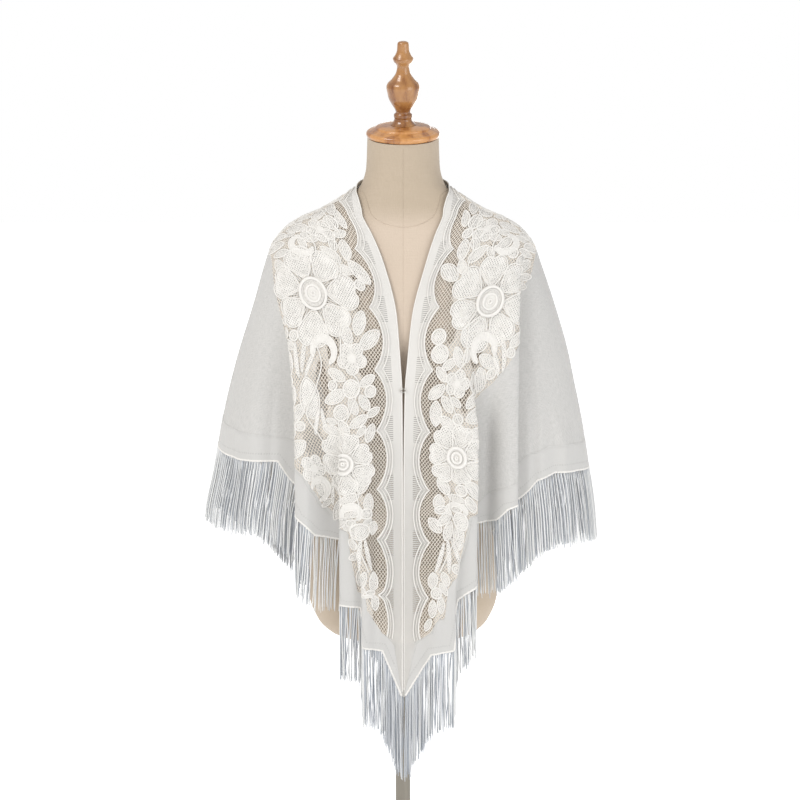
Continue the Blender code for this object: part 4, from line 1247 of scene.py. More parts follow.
def voile_finish(settings):
    """Plain weave, slightly sheer, with uneven threads."""
    made = Finish("voile_weave", settings.voile, 0.86, Sheen_Weight=0.25)
    place = made.flat_place()[0]
    weave = made.weave(place, (110.0, 1300.0, 1.0), (1300.0, 110.0, 1.0))
    cloudy = made.noise(place, 9.0, 2.0)
    made.tint(weave * 0.7 + cloudy * 0.3, toned(settings.voile, 0.90), settings.voile)
    made.feed("Alpha", made.clamp(weave, 0.30, 0.65) * 0.16 + 0.62)
    made.bump(weave, 0.0006, 0.55)
    return made.material


def band_finish(settings):
    """Dense knitted lace: fine ribs, with ladders of open bars at the cusps of the scallops."""
    made = Finish("knit_band", settings.lace, 0.82, Sheen_Weight=0.20)
    place, along, away = made.flat_place()
    ribs, courses = away.ribs(0.0016), along.ribs(0.0022)
    grain = made.noise(place, 420.0, 2.0)
    phase = ((along - SCALLOP_FIRST) / SCALLOP_PERIOD + 0.5) % 1.0
    near_cusp = 1.0 - made.clamp((phase - 0.5).absolute(), 0.20, 0.24)
    in_band = made.clamp(away, 0.0150, 0.0158) * (1.0 - made.clamp(away, 0.0262, 0.0270))
    bars = made.clamp(along.wave(0.0032), 0.05, 0.45)
    open_bars = near_cusp * in_band * bars * (along < LACE_END - 0.02)
    made.tint(grain * 0.6 + ribs * 0.4, toned(settings.lace, 0.84), toned(settings.lace, 0.92))
    sheer = made.clamp(along, 0.45, 0.80) * 0.32 + 0.05
    made.feed("Alpha", 1.0 - open_bars * 0.5 - sheer)
    made.bump(ribs * 0.5 + courses * 0.3 + grain * 0.6, 0.0005, 0.8)
    return made.material


def motif_finish(settings):
    """Dense lace: close stitches in slanting rows."""
    made = Finish("lace_stitches", settings.lace, 0.80, Sheen_Weight=0.20)
    place, along, away = made.flat_place()
    rows = (along + away * 0.6).ribs(0.0021)
    cross = (away - along * 0.6).ribs(0.0026)
    grain, uneven = made.noise(place, 500.0, 2.0), made.noise(place, 70.0, 2.0)
    made.tint(grain * 0.3 + rows * 0.3 + uneven * 0.4, toned(settings.lace, 0.90), settings.lace)
    made.bump(rows * 0.6 + cross * 0.4 + grain * 0.5, 0.0006, 0.7)
    return made.material


def open_finish(name, settings, pitch, openness):
    """Open stitches: slanting rows with small holes between, closer in some places than in others."""
    made = Finish(name, settings.lace, 0.82, Sheen_Weight=0.20)
    place, along, away = made.flat_place()
    rows = (along + away * 0.7).ribs(pitch)
    cross = (away - along * 0.7).ribs(pitch * 1.15)
    grain = made.noise(place, 420.0, 2.0)
    uneven = made.clamp(made.noise(place, 55.0, 2.0), 0.35, 0.60)
    holes = made.clamp(rows * cross, 0.30, 0.60) * (uneven * 0.7 + 0.3)
    made.tint(grain * 0.4 + (1.0 - holes) * 0.5, toned(settings.lace, 0.84), settings.lace)
    made.feed("Alpha", 1.0 - holes * openness)
    made.bump((1.0 - holes) * 0.7 + grain * 0.4, 0.0005, 0.8)
    return made.material


def ground_finish(settings, half):
    """Close stitches between the motifs, with small holes, that open into the bare net near the scallops."""
    made = Finish(f"lace_ground_{half}", settings.lace, 0.84, Sheen_Weight=0.20)
    place, along, away = made.flat_place()
    phase = ((along - SCALLOP_FIRST) / SCALLOP_PERIOD) % 1.0
    line = SCALLOP_CUSP - (phase * math.pi).sine() ** SCALLOP_ROUND * (SCALLOP_CUSP - SCALLOP_CREST)
    wander = made.streaks(place, (16.0, 9.0, 1.0))
    worked = made.clamp(away - line - wander * 0.050, 0.004, 0.008)
    for u, v, length, width in BARE[half]:
        worked = worked * made.clamp(((along - u) / length) ** 2 + ((away - v) / width) ** 2, 0.80, 1.15)
    slant, cross = (along * 0.8 + away).ribs(0.0046), (along * 0.8 - away).ribs(0.0046)
    holes = made.clamp(slant * cross, 0.22, 0.50)
    grain = made.noise(place, 420.0, 2.0)
    made.tint(grain, toned(settings.lace, 0.90), settings.lace)
    made.feed("Alpha", worked * (0.80 - holes * 0.62))
    made.bump((1.0 - holes) * 0.7 + grain * 0.4, 0.0004, 0.7)
    return made.material


def hem_finish(settings):
    """The folded hem: close weave, a stitched top line and an openwork line near the edge."""
    made = Finish("hem_weave", settings.voile, 0.86, Sheen_Weight=0.25)
    place, along, rise = made.flat_place()
    weave = made.weave(place, (90.0, 900.0, 1.0), (900.0, 90.0, 1.0))
    line = 1.0 - made.clamp((rise - OPENWORK).absolute(), 0.0008, 0.0014)
    marks = line * made.clamp(along.wave(0.0034), -0.2, 0.3)
    top = 1.0 - made.clamp((rise - (HEM_FOLD - 0.0025)).absolute(), 0.0004, 0.0009)
    stitches = made.clamp(along.wave(0.0040), 0.0, 0.5)
    share = weave * 0.7 - marks * 0.14 + 0.25
    made.tint(share, toned(settings.voile, 0.80), toned(settings.voile, 0.90))
    made.feed("Alpha", made.clamp(weave, 0.05, 0.45) * 0.16 + 0.74 - marks * 0.08)
    made.bump(weave * 0.7 + top * stitches * 1.2 - marks, 0.0006, 0.6)
    return made.material


THREAD_TWIST = (500.0, 500.0, 700.0)


def cord_finish(name, colour):
    """Twisted thread."""
    made = Finish(name, colour, 0.75, Sheen_Weight=0.15)
    twist = made.streaks(made.object_place(), THREAD_TWIST)
    made.tint(twist, toned(colour, 0.90), colour)
    made.bump(twist, 0.0005, 0.8)
    return made.material


def fringe_finish(settings):
    """Soft straight thread, with painted shade: greyer where a strand hangs behind the others and near the
    front tip.
    """
    made = Finish("fringe_thread", settings.thread_colour, 0.75, Sheen_Weight=0.15)
    depth = made.flat_place()[1]
    twist = made.streaks(made.object_place(), THREAD_TWIST)
    # Painted shade: each strand's shade, kept in its flat places, mixes the thread towards the inner colour.
    made.tint(depth * 0.8 + twist * 0.3 - 0.05, settings.thread_colour, settings.shade_colour)
    made.bump(twist, 0.0004, 0.7)
    return made.material


def linen_finish(settings):
    """Linen stretched over the form: crossing threads, painted shade on the neck and under the hips."""
    made = Finish("linen", settings.linen, 0.90, Sheen_Weight=0.10)
    place = made.object_place()
    weave = made.weave(place, (700.0, 700.0, 60.0), (60.0, 60.0, 800.0))
    cloudy = made.noise(place, 6.0, 3.0)
    height = made.node("ShaderNodeSeparateXYZ", None, {"Vector": place}, "Z")
    # Painted shade: the neck darkens towards the dark tone, and so does the form below the hips, under the
    # hanging cloth.
    neck = made.clamp(height, 1.285, 1.335)
    hips = 1.0 - made.clamp(height, 0.68, 0.88)
    share = weave * 0.4 + cloudy * 0.3 + 0.30 - neck * 0.62 - hips * 0.42
    made.tint(share, toned(settings.linen, 0.680, 0.670, 0.615), settings.linen)
    made.bump(weave, 0.0008, 0.6)
    return made.material


def wood_finish(name, colour):
    """Varnished turned wood: fine grain streaks along the axis, clear coat."""
    made = Finish(name, colour, 0.36, Coat_Weight=0.5, Coat_Roughness=0.10)
    place = made.object_place()
    warp = made.noise(place, 14.0, 3.0)
    streaks = made.streaks(place, (220.0, 220.0, 16.0), 4.0, 0.6)
    bands = (made.streaks(place, (26.0, 26.0, 5.0)) * 22.0 + warp * 3.0).sine() * 0.5 + 0.5
    grain = streaks * 0.65 + bands * 0.35
    stops = ((0.25, toned(colour, 0.55, 0.42, 0.34)), (0.50, colour), (0.78, toned(colour, 1.20, 1.32, 1.50)))
    made.feed("Base Color", made.node("ShaderNodeValToRGB", {"stops": stops}, {"Fac": grain}))
    made.feed("Roughness", grain * 0.15 + 0.24)
    made.bump(streaks, 0.0004, 0.25)
    return made.material


def steel_finish(settings):
    """Brushed steel tube."""
    made = Finish("brushed_steel", settings.steel, 0.34, 1.0)
    place = made.object_place()
    lines = made.streaks(place, (900.0, 900.0, 12.0))
    smudge = made.noise(place, 18.0, 3.0)
    made.tint(lines, toned(settings.steel, 0.82), settings.steel)
    made.feed("Roughness", lines * 0.18 + smudge * 0.10 + 0.22)
    made.bump(lines, 0.0002, 0.3)
    return made.material


def wire_finish():
    """Bright bent wire."""
    made = Finish("hook_wire", (0.62, 0.60, 0.56), 0.30, 1.0)
    made.feed("Roughness", made.noise(made.object_place(), 900.0, 2.0) * 0.2 + 0.22)
    return made.material


def paint_finish(settings):
    """Satin paint with a fine orange-peel."""
    made = Finish("satin_paint", settings.paint, 0.42, Coat_Weight=0.15)
    place = made.object_place()
    peel, wear = made.noise(place, 260.0, 2.0), made.noise(place, 12.0, 3.0)
    made.tint(wear, toned(settings.paint, 0.90), settings.paint)
    made.feed("Roughness", peel * 0.12 + 0.36)
    made.bump(peel, 0.0003, 0.3)
    return made.material


def floor_finish(settings):
    """Matt paper that gives off a little light."""
    glow = {"Emission_Color": (1.0, 1.0, 1.0, 1.0), "Emission_Strength": settings.floor_glow}
    made = Finish("studio_floor", settings.floor, 0.95, **glow)
    made.tint(made.noise(made.object_place(), 3.0, 2.0), toned(settings.floor, 0.985), settings.floor)
    return made.material


# ---------------------------------------------------------------- settings

def colour_property(name, description, default):
    """A colour a user may change."""
    return FloatVectorProperty(
        name=name, description=description, subtype="COLOR", size=3, min=0.0, max=1.0, default=default)


def length_property(name, description, default):
    """A length a user may change."""
    return FloatProperty(
        name=name, description=description, unit="LENGTH", default=default, min=0.0, precision=4)


class ShawlClothSettings(bpy.types.PropertyGroup):
    """Sizes and colours of the cloth and the lace."""

    wall: length_property("Cloth thickness", "Thickness of voile and band", 0.0009)
    net_along: length_property("Net mesh length", "Size of the net's mesh along the edge", 0.0068)
    net_away: length_property("Net mesh width", "Size of the net's mesh away from the edge", 0.0055)
    net_thread: length_property("Net thread", "Thickness of the net's thread", 0.0014)
    voile: colour_property("Voile", "Colour of the plain cloth", (0.645, 0.635, 0.615))
    lace: colour_property("Lace", "Colour of the lace", (0.750, 0.730, 0.695))
    net: colour_property("Net", "Colour of the net's thread", (0.79, 0.725, 0.640))


class ShawlFringeSettings(bpy.types.PropertyGroup):
    """Sizes and colour of the fringe."""

    pitch: length_property("Knot pitch", "Distance between the fringe's roots", 0.0050)
    length: length_property("Strand length", "Length of the strands", 0.118)
    thread: length_property("Strand thickness", "Thickness of one strand", 0.0013)
    strands: IntProperty(
        name="Strands per root", description="Strands that leave one root", default=4, min=1, max=6)
    thread_colour: colour_property("Strands", "Colour of the front strands", (0.80, 0.80, 0.78))
    # Painted shade: strands behind the others are tinted towards this colour.
    shade_colour: colour_property("Inner strands", "Colour of the strands behind", (0.36, 0.39, 0.44))


class DressFormSettings(bpy.types.PropertyGroup):
    """Colours of the dress form and its stand."""

    linen: colour_property("Linen", "Colour of the form's cover", (0.615, 0.512, 0.420))
    wood: colour_property("Wood", "Colour of the cap and finial", (0.40, 0.178, 0.052))
    steel: colour_property("Steel", "Colour of the pole", (0.245, 0.226, 0.192))
    paint: colour_property("Base paint", "Colour of the base", (0.74, 0.73, 0.70))


class StudioSettings(bpy.types.PropertyGroup):
    """Floor and light."""

    floor: colour_property("Floor", "Colour of the floor", (0.93, 0.93, 0.93))
    floor_glow: FloatProperty(
        name="Floor glow", description="Light that the floor gives off", default=0.55, min=0.0)
    sky: FloatProperty(
        name="Surround", description="Strength of the light all round", default=0.62, min=0.0)
    key: FloatProperty(
        name="Key light", description="Power of the main light", subtype="POWER", default=94.0, min=0.0)


# ---------------------------------------------------------------- operators: the shawl

def long_edge(half, reach, along):
    """The long edge itself."""
    return 0.0


def hem_edge(half, reach, along):
    """The hem itself."""
    return reach


def lace_rim(half, reach, along):
    """The outer rim of the lace."""
    return float(lace_limit(half, reach, along))


def hem_top(half, reach, along):
    """The top of the folded hem, kept off the lace."""
    return max(reach - HEM_FOLD, PLAIN_SHARE * reach, lace_rim(half, reach, along))


def band_rim(half, reach, along, beyond=1.0):
    """The scalloped line, kept off the rim; past the lace's end, a share of the way to the rim."""
    rim = lace_rim(half, reach, along)
    return min(float(scallop(along)), BAND_STOP * rim) if along < LACE_END else beyond * rim


def ground_start(half, reach, along):
    """Where the ground of stitches starts."""
    return band_rim(half, reach, along, GROUND_STOP)


def lay_sheet(name, half, lines, wall, material, lift=0.0, from_hem=False):
    """A sheet of one half between two lines of the cloth."""
    build = Build()
    shell(build, half, *lines, SHEET_ROWS[name], wall, lift, from_hem)
    return build.finish(f"{name}_{half}", material)


class SHAWL_OT_voile(bpy.types.Operator):
    """Lay the plain voile of both halves over the form"""

    bl_idname = "shawl.voile"
    bl_label = "Plain voile"

    def execute(self, context):
        settings = context.scene.shawl_cloth
        material = voile_finish(settings)
        for half in HALVES:
            piece = lay_sheet("voile", half, (lace_rim, hem_edge), settings.wall, material)
            panels = (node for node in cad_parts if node.startswith("plain_field") and half in node)
            dress(piece, "voile", *panels)
        return {"FINISHED"}


class SHAWL_OT_hem(bpy.types.Operator):
    """Fold the hem up on the outside and stitch it with an openwork line"""

    bl_idname = "shawl.hem"
    bl_label = "Hem border"

    def execute(self, context):
        material = hem_finish(context.scene.shawl_cloth)
        for half in HALVES:
            lines = (hem_top, hem_edge)
            piece = lay_sheet("hem_border", half, lines, HEM_WALL, material, HEM_LIFT, from_hem=True)
            dress(piece, "voile")
        return {"FINISHED"}


class SHAWL_OT_bands(bpy.types.Operator):
    """Lay the knitted edge bands up to the scallops"""

    bl_idname = "shawl.bands"
    bl_label = "Edge bands"

    def execute(self, context):
        settings = context.scene.shawl_cloth
        material = band_finish(settings)
        for half in HALVES:
            wall = settings.wall * BAND_THICKER
            piece = lay_sheet("knit_band", half, (long_edge, band_rim), wall, material)
            dress(piece, "lace", f"edge_band_{half}")
        return {"FINISHED"}


def net_mesh(build, half, settings):
    """Threads of the net that no motif covers, as three-sided cords between knots."""
    sheet = cloth(half)
    du, dv = settings.net_along / 2, settings.net_away / 2
    k, m = np.meshgrid(np.arange(int(LACE_END / du)), np.arange(int(LACE_WIDTH / dv) + 2), indexing="ij")
    along, away = k * du + 0.0004, m * dv
    reach = sheet.reach(along)
    limit = lace_limit(half, reach, along)
    free = (k + m) % 2 == 0
    free &= (away < limit + dv) & (away > scallop(along) - dv) & (away < reach - 0.002)
    buried = np.zeros(free.shape, bool)
    for outline in lace(half).outlines:
        buried |= inside(outline, along, away)
    away = np.minimum(away, limit + 0.0005)
    knots = -np.ones(free.shape, int)
    knots[free] = np.arange(free.sum())
    places = np.stack([along[free], away[free]], axis=1)
    points, normals = sheet.place(along[free], away[free], 0.0002, normals=True)
    pairs = []
    for here, ahead in ((slice(0, -1), slice(1, None)), (slice(1, None), slice(0, -1))):
        a, b = knots[:-1, here], knots[1:, ahead]
        keep = (a >= 0) & (b >= 0) & ~(buried[:-1, here] & buried[1:, ahead])
        pairs.append(np.stack([a[keep], b[keep]], axis=1))
    first, last = np.concatenate(pairs).T
    start, end, up = points[first], points[last], normals[first]
    side = unit(np.cross(unit(end - start), up))
    radius = settings.net_thread / 2
    offsets = [side * radius - up * radius * 0.4, up * radius * 0.9, -side * radius - up * radius * 0.4]
    corners = np.stack([start + o for o in offsets] + [end + o for o in offsets], axis=1)
    base = np.arange(len(first))[:, None] * 6
    quads = [base + np.array([[i, (i + 1) % 3, (i + 1) % 3 + 3, i + 3]]) for i in range(3)]
    build.add(corners, np.concatenate(quads), np.stack([places[first]] * 3 + [places[last]] * 3, axis=1))


class SHAWL_OT_net(bpy.types.Operator):
    """Knot the open net of the lace border"""

    bl_idname = "shawl.net"
    bl_label = "Lace net"

    def execute(self, context):
        settings = context.scene.shawl_cloth
        material = cord_finish("net_thread", settings.net)
        for half in HALVES:
            build = Build()
            net_mesh(build, half, settings)
            piece = build.finish(f"lace_net_{half}", material, ALL_SMOOTH)
            dress(piece, "lace", f"lace_border_front_{half}", f"lace_border_back_{half}")
        return {"FINISHED"}


class SHAWL_OT_ground(bpy.types.Operator):
    """Close the lace between the motifs with a ground of small stitches"""

    bl_idname = "shawl.ground"
    bl_label = "Lace ground"

    def execute(self, context):
        for half in HALVES:
            material, lines = ground_finish(context.scene.shawl_cloth, half), (ground_start, lace_rim)
            piece = lay_sheet("lace_ground", half, lines, GROUND_WALL, material, GROUND_LIFT)
            dress(piece, "lace")
        return {"FINISHED"}


def scallop_mesh(build, half):
    """The cords along the scallops and the rolled long edge."""
    along = np.arange(0.001, LACE_END, 0.0023)
    limit = CORD_STOP * lace_limit(half, cloth(half).reach(along), along)
    for crest, cusp, radius, lift in SCALLOP_LINES:
        away = np.minimum(scallop(along, crest, cusp), limit)
        tube(build, half, np.stack([along, away], axis=1), radius, lift + radius * 0.4)
    edge = np.arange(0.001, cloth(half).edge_length - 0.012, 0.004)
    tube(build, half, np.stack([edge, np.full_like(edge, 0.0012)], axis=1), 0.0011, 0.0003)


class SHAWL_OT_motifs(bpy.types.Operator):
    """Work the flowers, leaves and scrolls of the lace and its scalloped cords"""

    bl_idname = "shawl.motifs"
    bl_label = "Lace motifs"

    def execute(self, context):
        settings = context.scene.shawl_cloth
        stitches = motif_finish(settings)
        petal_stitches = open_finish("petal_stitches", settings, 0.0036, 0.62)
        open_stitches = open_finish("open_stitches", settings, 0.0032, 0.82)
        thread = cord_finish("lace_cord", settings.lace)
        for half in HALVES:
            made, scallops = lace(half), Build()
            scallop_mesh(scallops, half)
            flowers = [f"flower_{half}_{k}" for k in (1, 2)]
            centres = [f"flower_centre_{half}_{k}" for k in (1, 2)]
            for name, build, material, angle, nodes in (
                    ("lace_motifs", made.fills, stitches, PATCH_ANGLE, flowers),
                    ("lace_petals", made.petals, petal_stitches, PATCH_ANGLE, ()),
                    ("lace_leaves", made.open_fills, open_stitches, PATCH_ANGLE, ()),
                    ("lace_outlines", made.cords, thread, ALL_SMOOTH, centres),
                    ("scallop_lines", scallops, thread, ALL_SMOOTH, [f"scallop_cord_{half}"])):
                dress(build.finish(f"{name}_{half}", material, angle), "lace", *nodes)
        return {"FINISHED"}


def hem_line(half, step):
    """Places along the hem: fractions, (around, z), points and directions out of the cloth."""
    sheet = cloth(half)
    count = int(sheet.hem_length / step)
    fraction = (np.arange(count) + 0.5) / count
    fraction = fraction[fraction > TIP_FRACTION]
    places = sheet.at_path(sheet.hem, fraction)
    points = drape_point(half, places[:, 0], places[:, 1])
    return fraction, places, points, outward(half, places[:, 0], places[:, 1])


def strand(half, settings, chance, s, place, root, normal, near_tip, over_form):
    """One strand that hangs from its root: centres, radii and its painted shade along it."""
    around, z = place
    steps = np.linspace(0.0, 1.0, 11)
    length = settings.length * chance.normal(1.0, 0.025) * (1.0 + TIP_LONGER * near_tip)
    drift = chance.normal(0.0, 0.0011)
    start = (s - (settings.strands - 1) / 2) * STRAND_ROOM + chance.normal(0.0, 0.0003)
    sway, beat = chance.normal(0.0, 0.0006), chance.uniform(2, 5)
    spread = (start + drift * steps + sway * np.sin(beat * steps + s)) / HEM_RADIUS
    line = drape_point(half, around + spread / np.pi, z - steps * length)
    gap = (root - drape_point(half, around, z))[None, :]
    behind = 0.0 if s == settings.strands // 2 else 0.7 + 0.3 * s / settings.strands
    behind = 0.4 * behind if over_form else behind
    sunk = chance.normal(0.0, 0.0008) - STRAND_SINK * behind
    line = line + gap + normal[None, :] * (sunk * np.minimum(1.0, steps * 5)[:, None])
    thick = settings.thread / 2 * chance.uniform(0.9, 1.2) * (1.25 - 0.3 * behind)
    # Painted shade: strands behind the middle one, and strands near the front tip, take a darker tone; the
    # spread on top is random.
    shade = np.clip(behind + 0.45 * near_tip + chance.normal(0.0, 0.18), 0.0, 1.0)
    flat = np.stack([np.full_like(steps, shade), steps], axis=1)
    return line, thick * np.where(steps > 0.95, 0.6, 1.0), flat


def fringe_mesh(build, half, settings):
    """The strands of one half, thinner in front of the form and thicker at the front tip."""
    chance = np.random.default_rng(FRINGE_SEED[half])
    for fraction, place, root, normal in zip(*hem_line(half, settings.pitch)):
        near_tip = max(0.0, 1.0 - fraction / TIP_SHARE)
        foot = place[1] - FORM_CLEAR * settings.length
        over_form = root[1] < 0.0 and abs(root[0]) < FORM_HALF and foot > FORM_FOOT
        for s in range(settings.strands + round(TIP_EXTRA * near_tip)):
            if over_form and s % 2 == 1:
                continue
            line, radii, flat = strand(
                half, settings, chance, s, place, root, normal, near_tip, over_form)
            up = np.repeat(normal[None], len(line), axis=0)
            bare_tube(build, line, up, radii, sides=4, flat=flat)


class SHAWL_OT_fringe(bpy.types.Operator):
    """Sew the braid to the hem and hang the fringe from it"""

    bl_idname = "shawl.fringe"
    bl_label = "Hem and fringe"

    def execute(self, context):
        settings = context.scene.shawl_fringe
        braid, thread = cord_finish("hem_braid", context.scene.shawl_cloth.lace), fringe_finish(settings)
        for half in HALVES:
            _, _, points, normals = hem_line(half, 0.0025)
            wave = 0.0004 * np.sin(np.arange(len(points)) * 2.2)
            build = Build()
            bare_tube(build, points + normals * wave[:, None], normals, 0.0019, sides=6, flatten=0.7)
            dress(build.finish(f"hem_braid_{half}", braid, ALL_SMOOTH), "lace")
            build = Build()
            fringe_mesh(build, half, settings)
            dress(build.finish(f"fringe_strands_{half}", thread, ALL_SMOOTH), "lace", f"fringe_{half}")
        return {"FINISHED"}


class SHAWL_OT_closure(bpy.types.Operator):
    """Sew on the small hook and eye"""

    bl_idname = "shawl.closure"
    bl_label = "Hook and eye"

    def execute(self, context):
        low, high = (np.array(corner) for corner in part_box("hook"))
        middle = (low + high) / 2
        build, loop = Build(), circle(24)
        up = np.repeat([[0.0, -1.0, 0.0]], len(loop), axis=0)
        for aside, radius in HOOK_LOOPS:
            x, z = middle[0] + aside + radius * loop[:, 0], middle[2] + radius * loop[:, 1]
            line = np.stack([x, np.full_like(x, middle[1]), z], axis=1)
            bare_tube(build, line, up, HOOK_WIRE, closed=True, sides=6)
        dress(build.finish("hook_and_eye", wire_finish(), ALL_SMOOTH), "steel", "hook")
        return {"FINISHED"}


# ---------------------------------------------------------------- operators: the dress form

def turned_shape(build, profile, seat, tilt, segments=72):
    """A turned piece from a profile of (height, radius), stood on its seat."""
    profile = np.array(profile)
    angle = 2 * np.pi * np.arange(segments) / segments
    radii = np.concatenate([[0.0], profile[:, 1], [0.0]])
    heights = np.concatenate([[profile[0, 0]], profile[:, 0], [profile[-1, 0]]])
    x = radii[:, None] * np.cos(angle)[None]
    y = radii[:, None] * np.sin(angle)[None]
    z = heights[:, None] * np.ones_like(x)
    turned_y = y * math.cos(tilt) - z * math.sin(tilt)
    turned_z = y * math.sin(tilt) + z * math.cos(tilt)
    points = np.stack([x, turned_y, turned_z], axis=-1) + np.array(seat)
    index = np.arange(x.size).reshape(x.shape)
    build.add(points, wrapped_quads(index[:-1], index[1:]), np.stack([x, z], axis=-1))


def smooth_profile(profile, count):
    """A profile read at many heights, without overshoot."""
    profile = np.array(profile)
    heights = np.linspace(profile[0, 0], profile[-1, 0], count)
    return np.stack([heights, smooth_curve(profile[:, 0], profile[:, 1], heights)], axis=1)


def rounded_profile(profile, rounds=2):
    """A profile with its corners cut back twice."""
    points = np.array(profile, float)
    for _ in range(rounds):
        low, high = points[:-1] * 0.75 + points[1:] * 0.25, points[:-1] * 0.25 + points[1:] * 0.75
        middle = np.stack([low, high], axis=1).reshape(-1, 2)
        points = np.concatenate([points[:1], middle, points[-1:]])
    return points


def form_points(around, z, proud=0.0):
    """Points of the dress form, leaning towards the cap at the neck."""
    around, z = np.broadcast_arrays(np.asarray(around, float), np.asarray(z, float))
    side, front, back = sections(FORM, FORM_COLUMNS, ("side", "front", "back"), z)
    x, y = ring(side + proud, front + proud, back + proud, np.abs(around))
    y = y - bust(x, z, BUST_BELOW) * np.clip(np.cos(np.pi * np.abs(around)), 0.0, 1.0)
    share = eased((z - NECK_FOOT) / (FORM[0][0] - NECK_FOOT))
    z = z + share * math.tan(CAP_TILT) * (y - CAP_SEAT[1])
    return np.stack([x * np.sign(around + 1e-12), y, z], axis=-1)


def cover_mesh(build):
    """The linen cover, closed at the neck and under the hips."""
    heights = np.concatenate([np.linspace(*rows) for rows in COVER_ROWS])
    around = np.linspace(-1.0, 1.0, 161)[:-1]
    points = form_points(around[None, :], heights[:, None])
    flat = np.stack(np.broadcast_arrays(around[None, :], heights[:, None]), axis=-1).reshape(-1, 2)
    count = len(flat)
    index = np.arange(count).reshape(points.shape[:2])
    faces = [wrapped_quads(index[:-1], index[1:])[:, [0, 3, 2, 1]]]
    for loop, hub in ((index[0], count), (index[-1][::-1], count + 1)):
        following = np.roll(loop, -1)
        faces.append(np.stack([np.full_like(loop, hub), loop, following, following], axis=-1))
    build.add(
        np.concatenate([points.reshape(-1, 3), [points[0].mean(axis=0), points[-1].mean(axis=0)]]),
        np.concatenate(faces),
        np.concatenate([flat, [[0.0, hub] for hub in COVER_HUBS]]))


def seam_mesh(build):
    """The seam round the foot of the neck and the seams at the centre front and back."""
    place = np.linspace(-1.0, 1.0, 120, endpoint=False)
    lines = [(place, NECK_SEAM - NECK_SEAM_DIP * np.exp(-(place / 0.15) ** 2), True, 0.00045)]
    for centre in (0.0, 1.0):
        z = np.linspace(*CENTRE_SEAM, 150)
        lines.append((np.full_like(z, centre), z, False, 0.00025))
    for around, z, closed, radius in lines:
        seam = form_points(around, z, 0.0001)
        bare_tube(build, seam, unit(form_points(around, z, 0.01) - seam), radius, closed, sides=4)


class SHAWL_OT_torso(bpy.types.Operator):
    """Cover the limbless form in linen, with its neck seam and centre seams"""

    bl_idname = "shawl.torso"
    bl_label = "Dress form"

    def execute(self, context):
        material = linen_finish(context.scene.dress_form)
        cover, seams = Build(), Build()
        cover_mesh(cover)
        dress(cover.finish("form_cover", material, TURNED_ANGLE), "linen", "torso")
        seam_mesh(seams)
        dress(seams.finish("form_seams", material, ALL_SMOOTH), "linen")
        return {"FINISHED"}


class SHAWL_OT_wood(bpy.types.Operator):
    """Turn and varnish the neck cap and the finial"""

    bl_idname = "shawl.wood"
    bl_label = "Cap and finial"

    def execute(self, context):
        up = np.array([0.0, -math.sin(CAP_TILT), math.cos(CAP_TILT)])
        cap, finial = rounded_profile(NECK_CAP), smooth_profile(FINIAL, 150)
        for name, profile, rise, tone, node in (
                ("cap", cap, 0.0003, CAP_TONE, "neck_cap"),
                ("finial", finial, NECK_CAP[-1][0] + 0.0006, FINIAL_TONE, "finial")):
            build = Build()
            turned_shape(build, profile, np.array(CAP_SEAT) + up * rise, CAP_TILT)
            material = wood_finish(f"{name}_wood", toned(context.scene.dress_form.wood, tone))
            dress(build.finish(f"turned_{name}", material, TURNED_ANGLE), "wood", node)
        return {"FINISHED"}


class SHAWL_OT_stand(bpy.types.Operator):
    """Make the pole, its plate and the round base"""

    bl_idname = "shawl.stand"
    bl_label = "Pole and base"

    def execute(self, context):
        settings = context.scene.dress_form
        finishes = {"steel": steel_finish(settings), "paint": paint_finish(settings)}
        for node, finish, slot, rim in STAND:
            low, high = (np.array(corner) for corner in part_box(node))
            radius, height = (high[0] - low[0]) / 2, high[2] - low[2]
            turn = np.linspace(0, np.pi / 2, 7)
            top = [(height - rim + rim * math.sin(t), radius - rim + rim * math.cos(t)) for t in turn]
            foot = [(rim - rim * math.sin(t), radius - rim + rim * math.cos(t)) for t in turn[::-1]]
            if node == "base":
                foot = [(0.0, radius)]
            rise = [(h, radius) for h in np.linspace(rim * 1.2, height - rim * 1.2, 24)]
            build = Build()
            seat = np.array([(low[0] + high[0]) / 2, (low[1] + high[1]) / 2, low[2]])
            turned_shape(build, foot + rise + top, seat, 0.0)
            dress(build.finish(f"{node}_turned", finishes[finish], TURNED_ANGLE), slot, node)
        return {"FINISHED"}


# ---------------------------------------------------------------- operators: the studio

class SHAWL_OT_studio(bpy.types.Operator):
    """Set up the floor and the soft light"""

    bl_idname = "shawl.studio"
    bl_label = "Studio"

    def execute(self, context):
        scene, settings = context.scene, context.scene.shawl_studio
        build, square = Build(), ((0, 0), (1, 0), (1, 1), (0, 1))
        corners = [(FLOOR * (2 * u - 1), FLOOR * (2 * v - 1), -0.001) for u, v in square]
        build.add(corners, [[0, 1, 2, 3]], square)
        build.finish("studio_floor", floor_finish(settings))
        world = bpy.data.worlds.new("studio")
        world.use_nodes = True
        background = world.node_tree.nodes["Background"]
        background.inputs["Color"].default_value = (1.0, 1.0, 1.0, 1.0)
        seen = Nodes(world.node_tree).node("ShaderNodeLightPath")
        strength = seen * (1.0 - settings.sky) + settings.sky
        world.node_tree.links.new(strength.socket, background.inputs["Strength"])
        scene.world = world
        for name, place, size, share, colour in LAMPS:
            data = bpy.data.lights.new(name, "AREA")
            data.size, data.energy, data.color = size, settings.key * share, colour
            lamp = bpy.data.objects.new(name, data)
            lamp.location = place
            aim = np.array(LAMP_AIM) - np.array(place)
            fall, heading = math.acos(-aim[2] / np.linalg.norm(aim)), math.atan2(aim[1], aim[0])
            lamp.rotation_euler = (fall, 0.0, heading - math.pi / 2)
            scene.collection.objects.link(lamp)
        scene.view_settings.view_transform = "Standard"
        return {"FINISHED"}


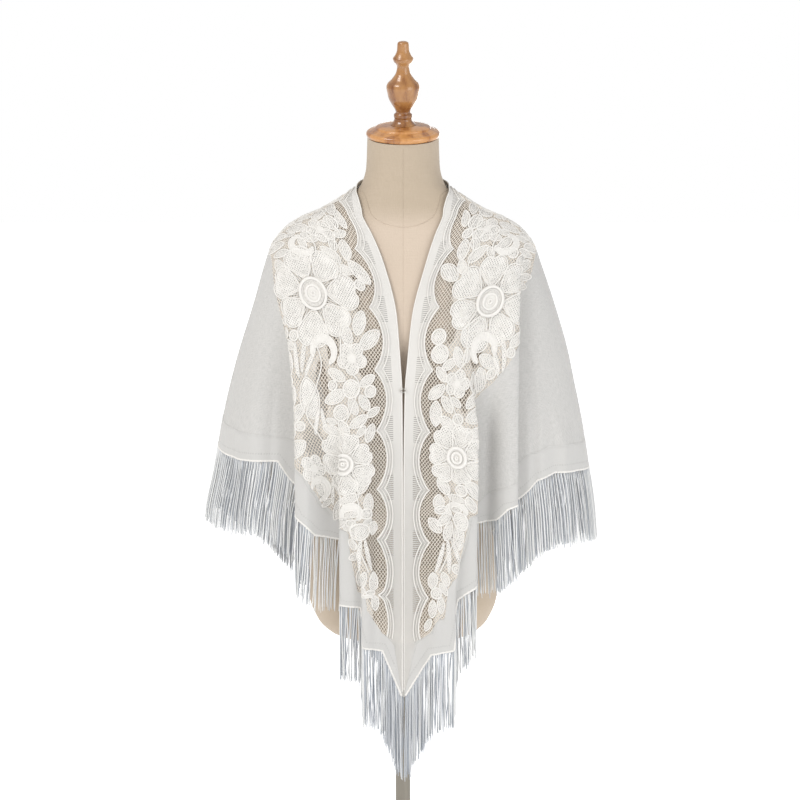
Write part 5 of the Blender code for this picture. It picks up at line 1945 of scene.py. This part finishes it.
class SHAWL_OT_camera(bpy.types.Operator):
    """Place the camera"""

    bl_idname = "shawl.camera"
    bl_label = "Camera"

    def execute(self, context):
        data = bpy.data.cameras.new("view")
        data.sensor_width = SENSOR
        data.lens = SENSOR * (CAMERA_DISTANCE / PIXEL) / FRAME_PIXELS
        camera = bpy.data.objects.new("view", data)
        x, y, z = CAMERA_TARGET
        back, rise = CAMERA_DISTANCE * math.cos(CAMERA_RISE), CAMERA_DISTANCE * math.sin(CAMERA_RISE)
        camera.location = (x, y - back, z + rise)
        camera.rotation_euler = (math.pi / 2 - CAMERA_RISE, 0.0, 0.0)
        context.scene.collection.objects.link(camera)
        context.scene.camera = camera
        return {"FINISHED"}


class SHAWL_PT_panel(bpy.types.Panel):
    """The shawl's settings and steps"""

    bl_label = "Lace shawl"
    bl_idname = "SHAWL_PT_panel"
    bl_space_type = "VIEW_3D"
    bl_region_type = "UI"
    bl_category = "Shawl"

    def draw(self, context):
        layout = self.layout
        for group in GROUPS:
            settings = getattr(context.scene, group)
            box = layout.box()
            for name in settings.__annotations__:
                box.prop(settings, name)
        for step in STEPS:
            layout.operator(step.bl_idname)


GROUPS = {
    "shawl_cloth": ShawlClothSettings,
    "shawl_fringe": ShawlFringeSettings,
    "dress_form": DressFormSettings,
    "shawl_studio": StudioSettings,
}
STEPS = (
    SHAWL_OT_camera, SHAWL_OT_voile, SHAWL_OT_hem, SHAWL_OT_bands, SHAWL_OT_net, SHAWL_OT_ground,
    SHAWL_OT_motifs, SHAWL_OT_fringe, SHAWL_OT_closure, SHAWL_OT_torso, SHAWL_OT_wood, SHAWL_OT_stand,
    SHAWL_OT_studio,
)


def register():
    """Add the classes and their settings to Blender."""
    for made in (*GROUPS.values(), *STEPS, SHAWL_PT_panel):
        bpy.utils.register_class(made)
    for name, group in GROUPS.items():
        setattr(bpy.types.Scene, name, PointerProperty(type=group))


def unregister():
    """Take the classes and their settings out again."""
    for name in GROUPS:
        delattr(bpy.types.Scene, name)
    for made in (SHAWL_PT_panel, *reversed(STEPS), *reversed(tuple(GROUPS.values()))):
        bpy.utils.unregister_class(made)


def main():
    """Build everything."""
    register()
    for step in STEPS:
        group, name = step.bl_idname.split(".")
        getattr(getattr(bpy.ops, group), name)()


if __name__ == "__main__":
    main()
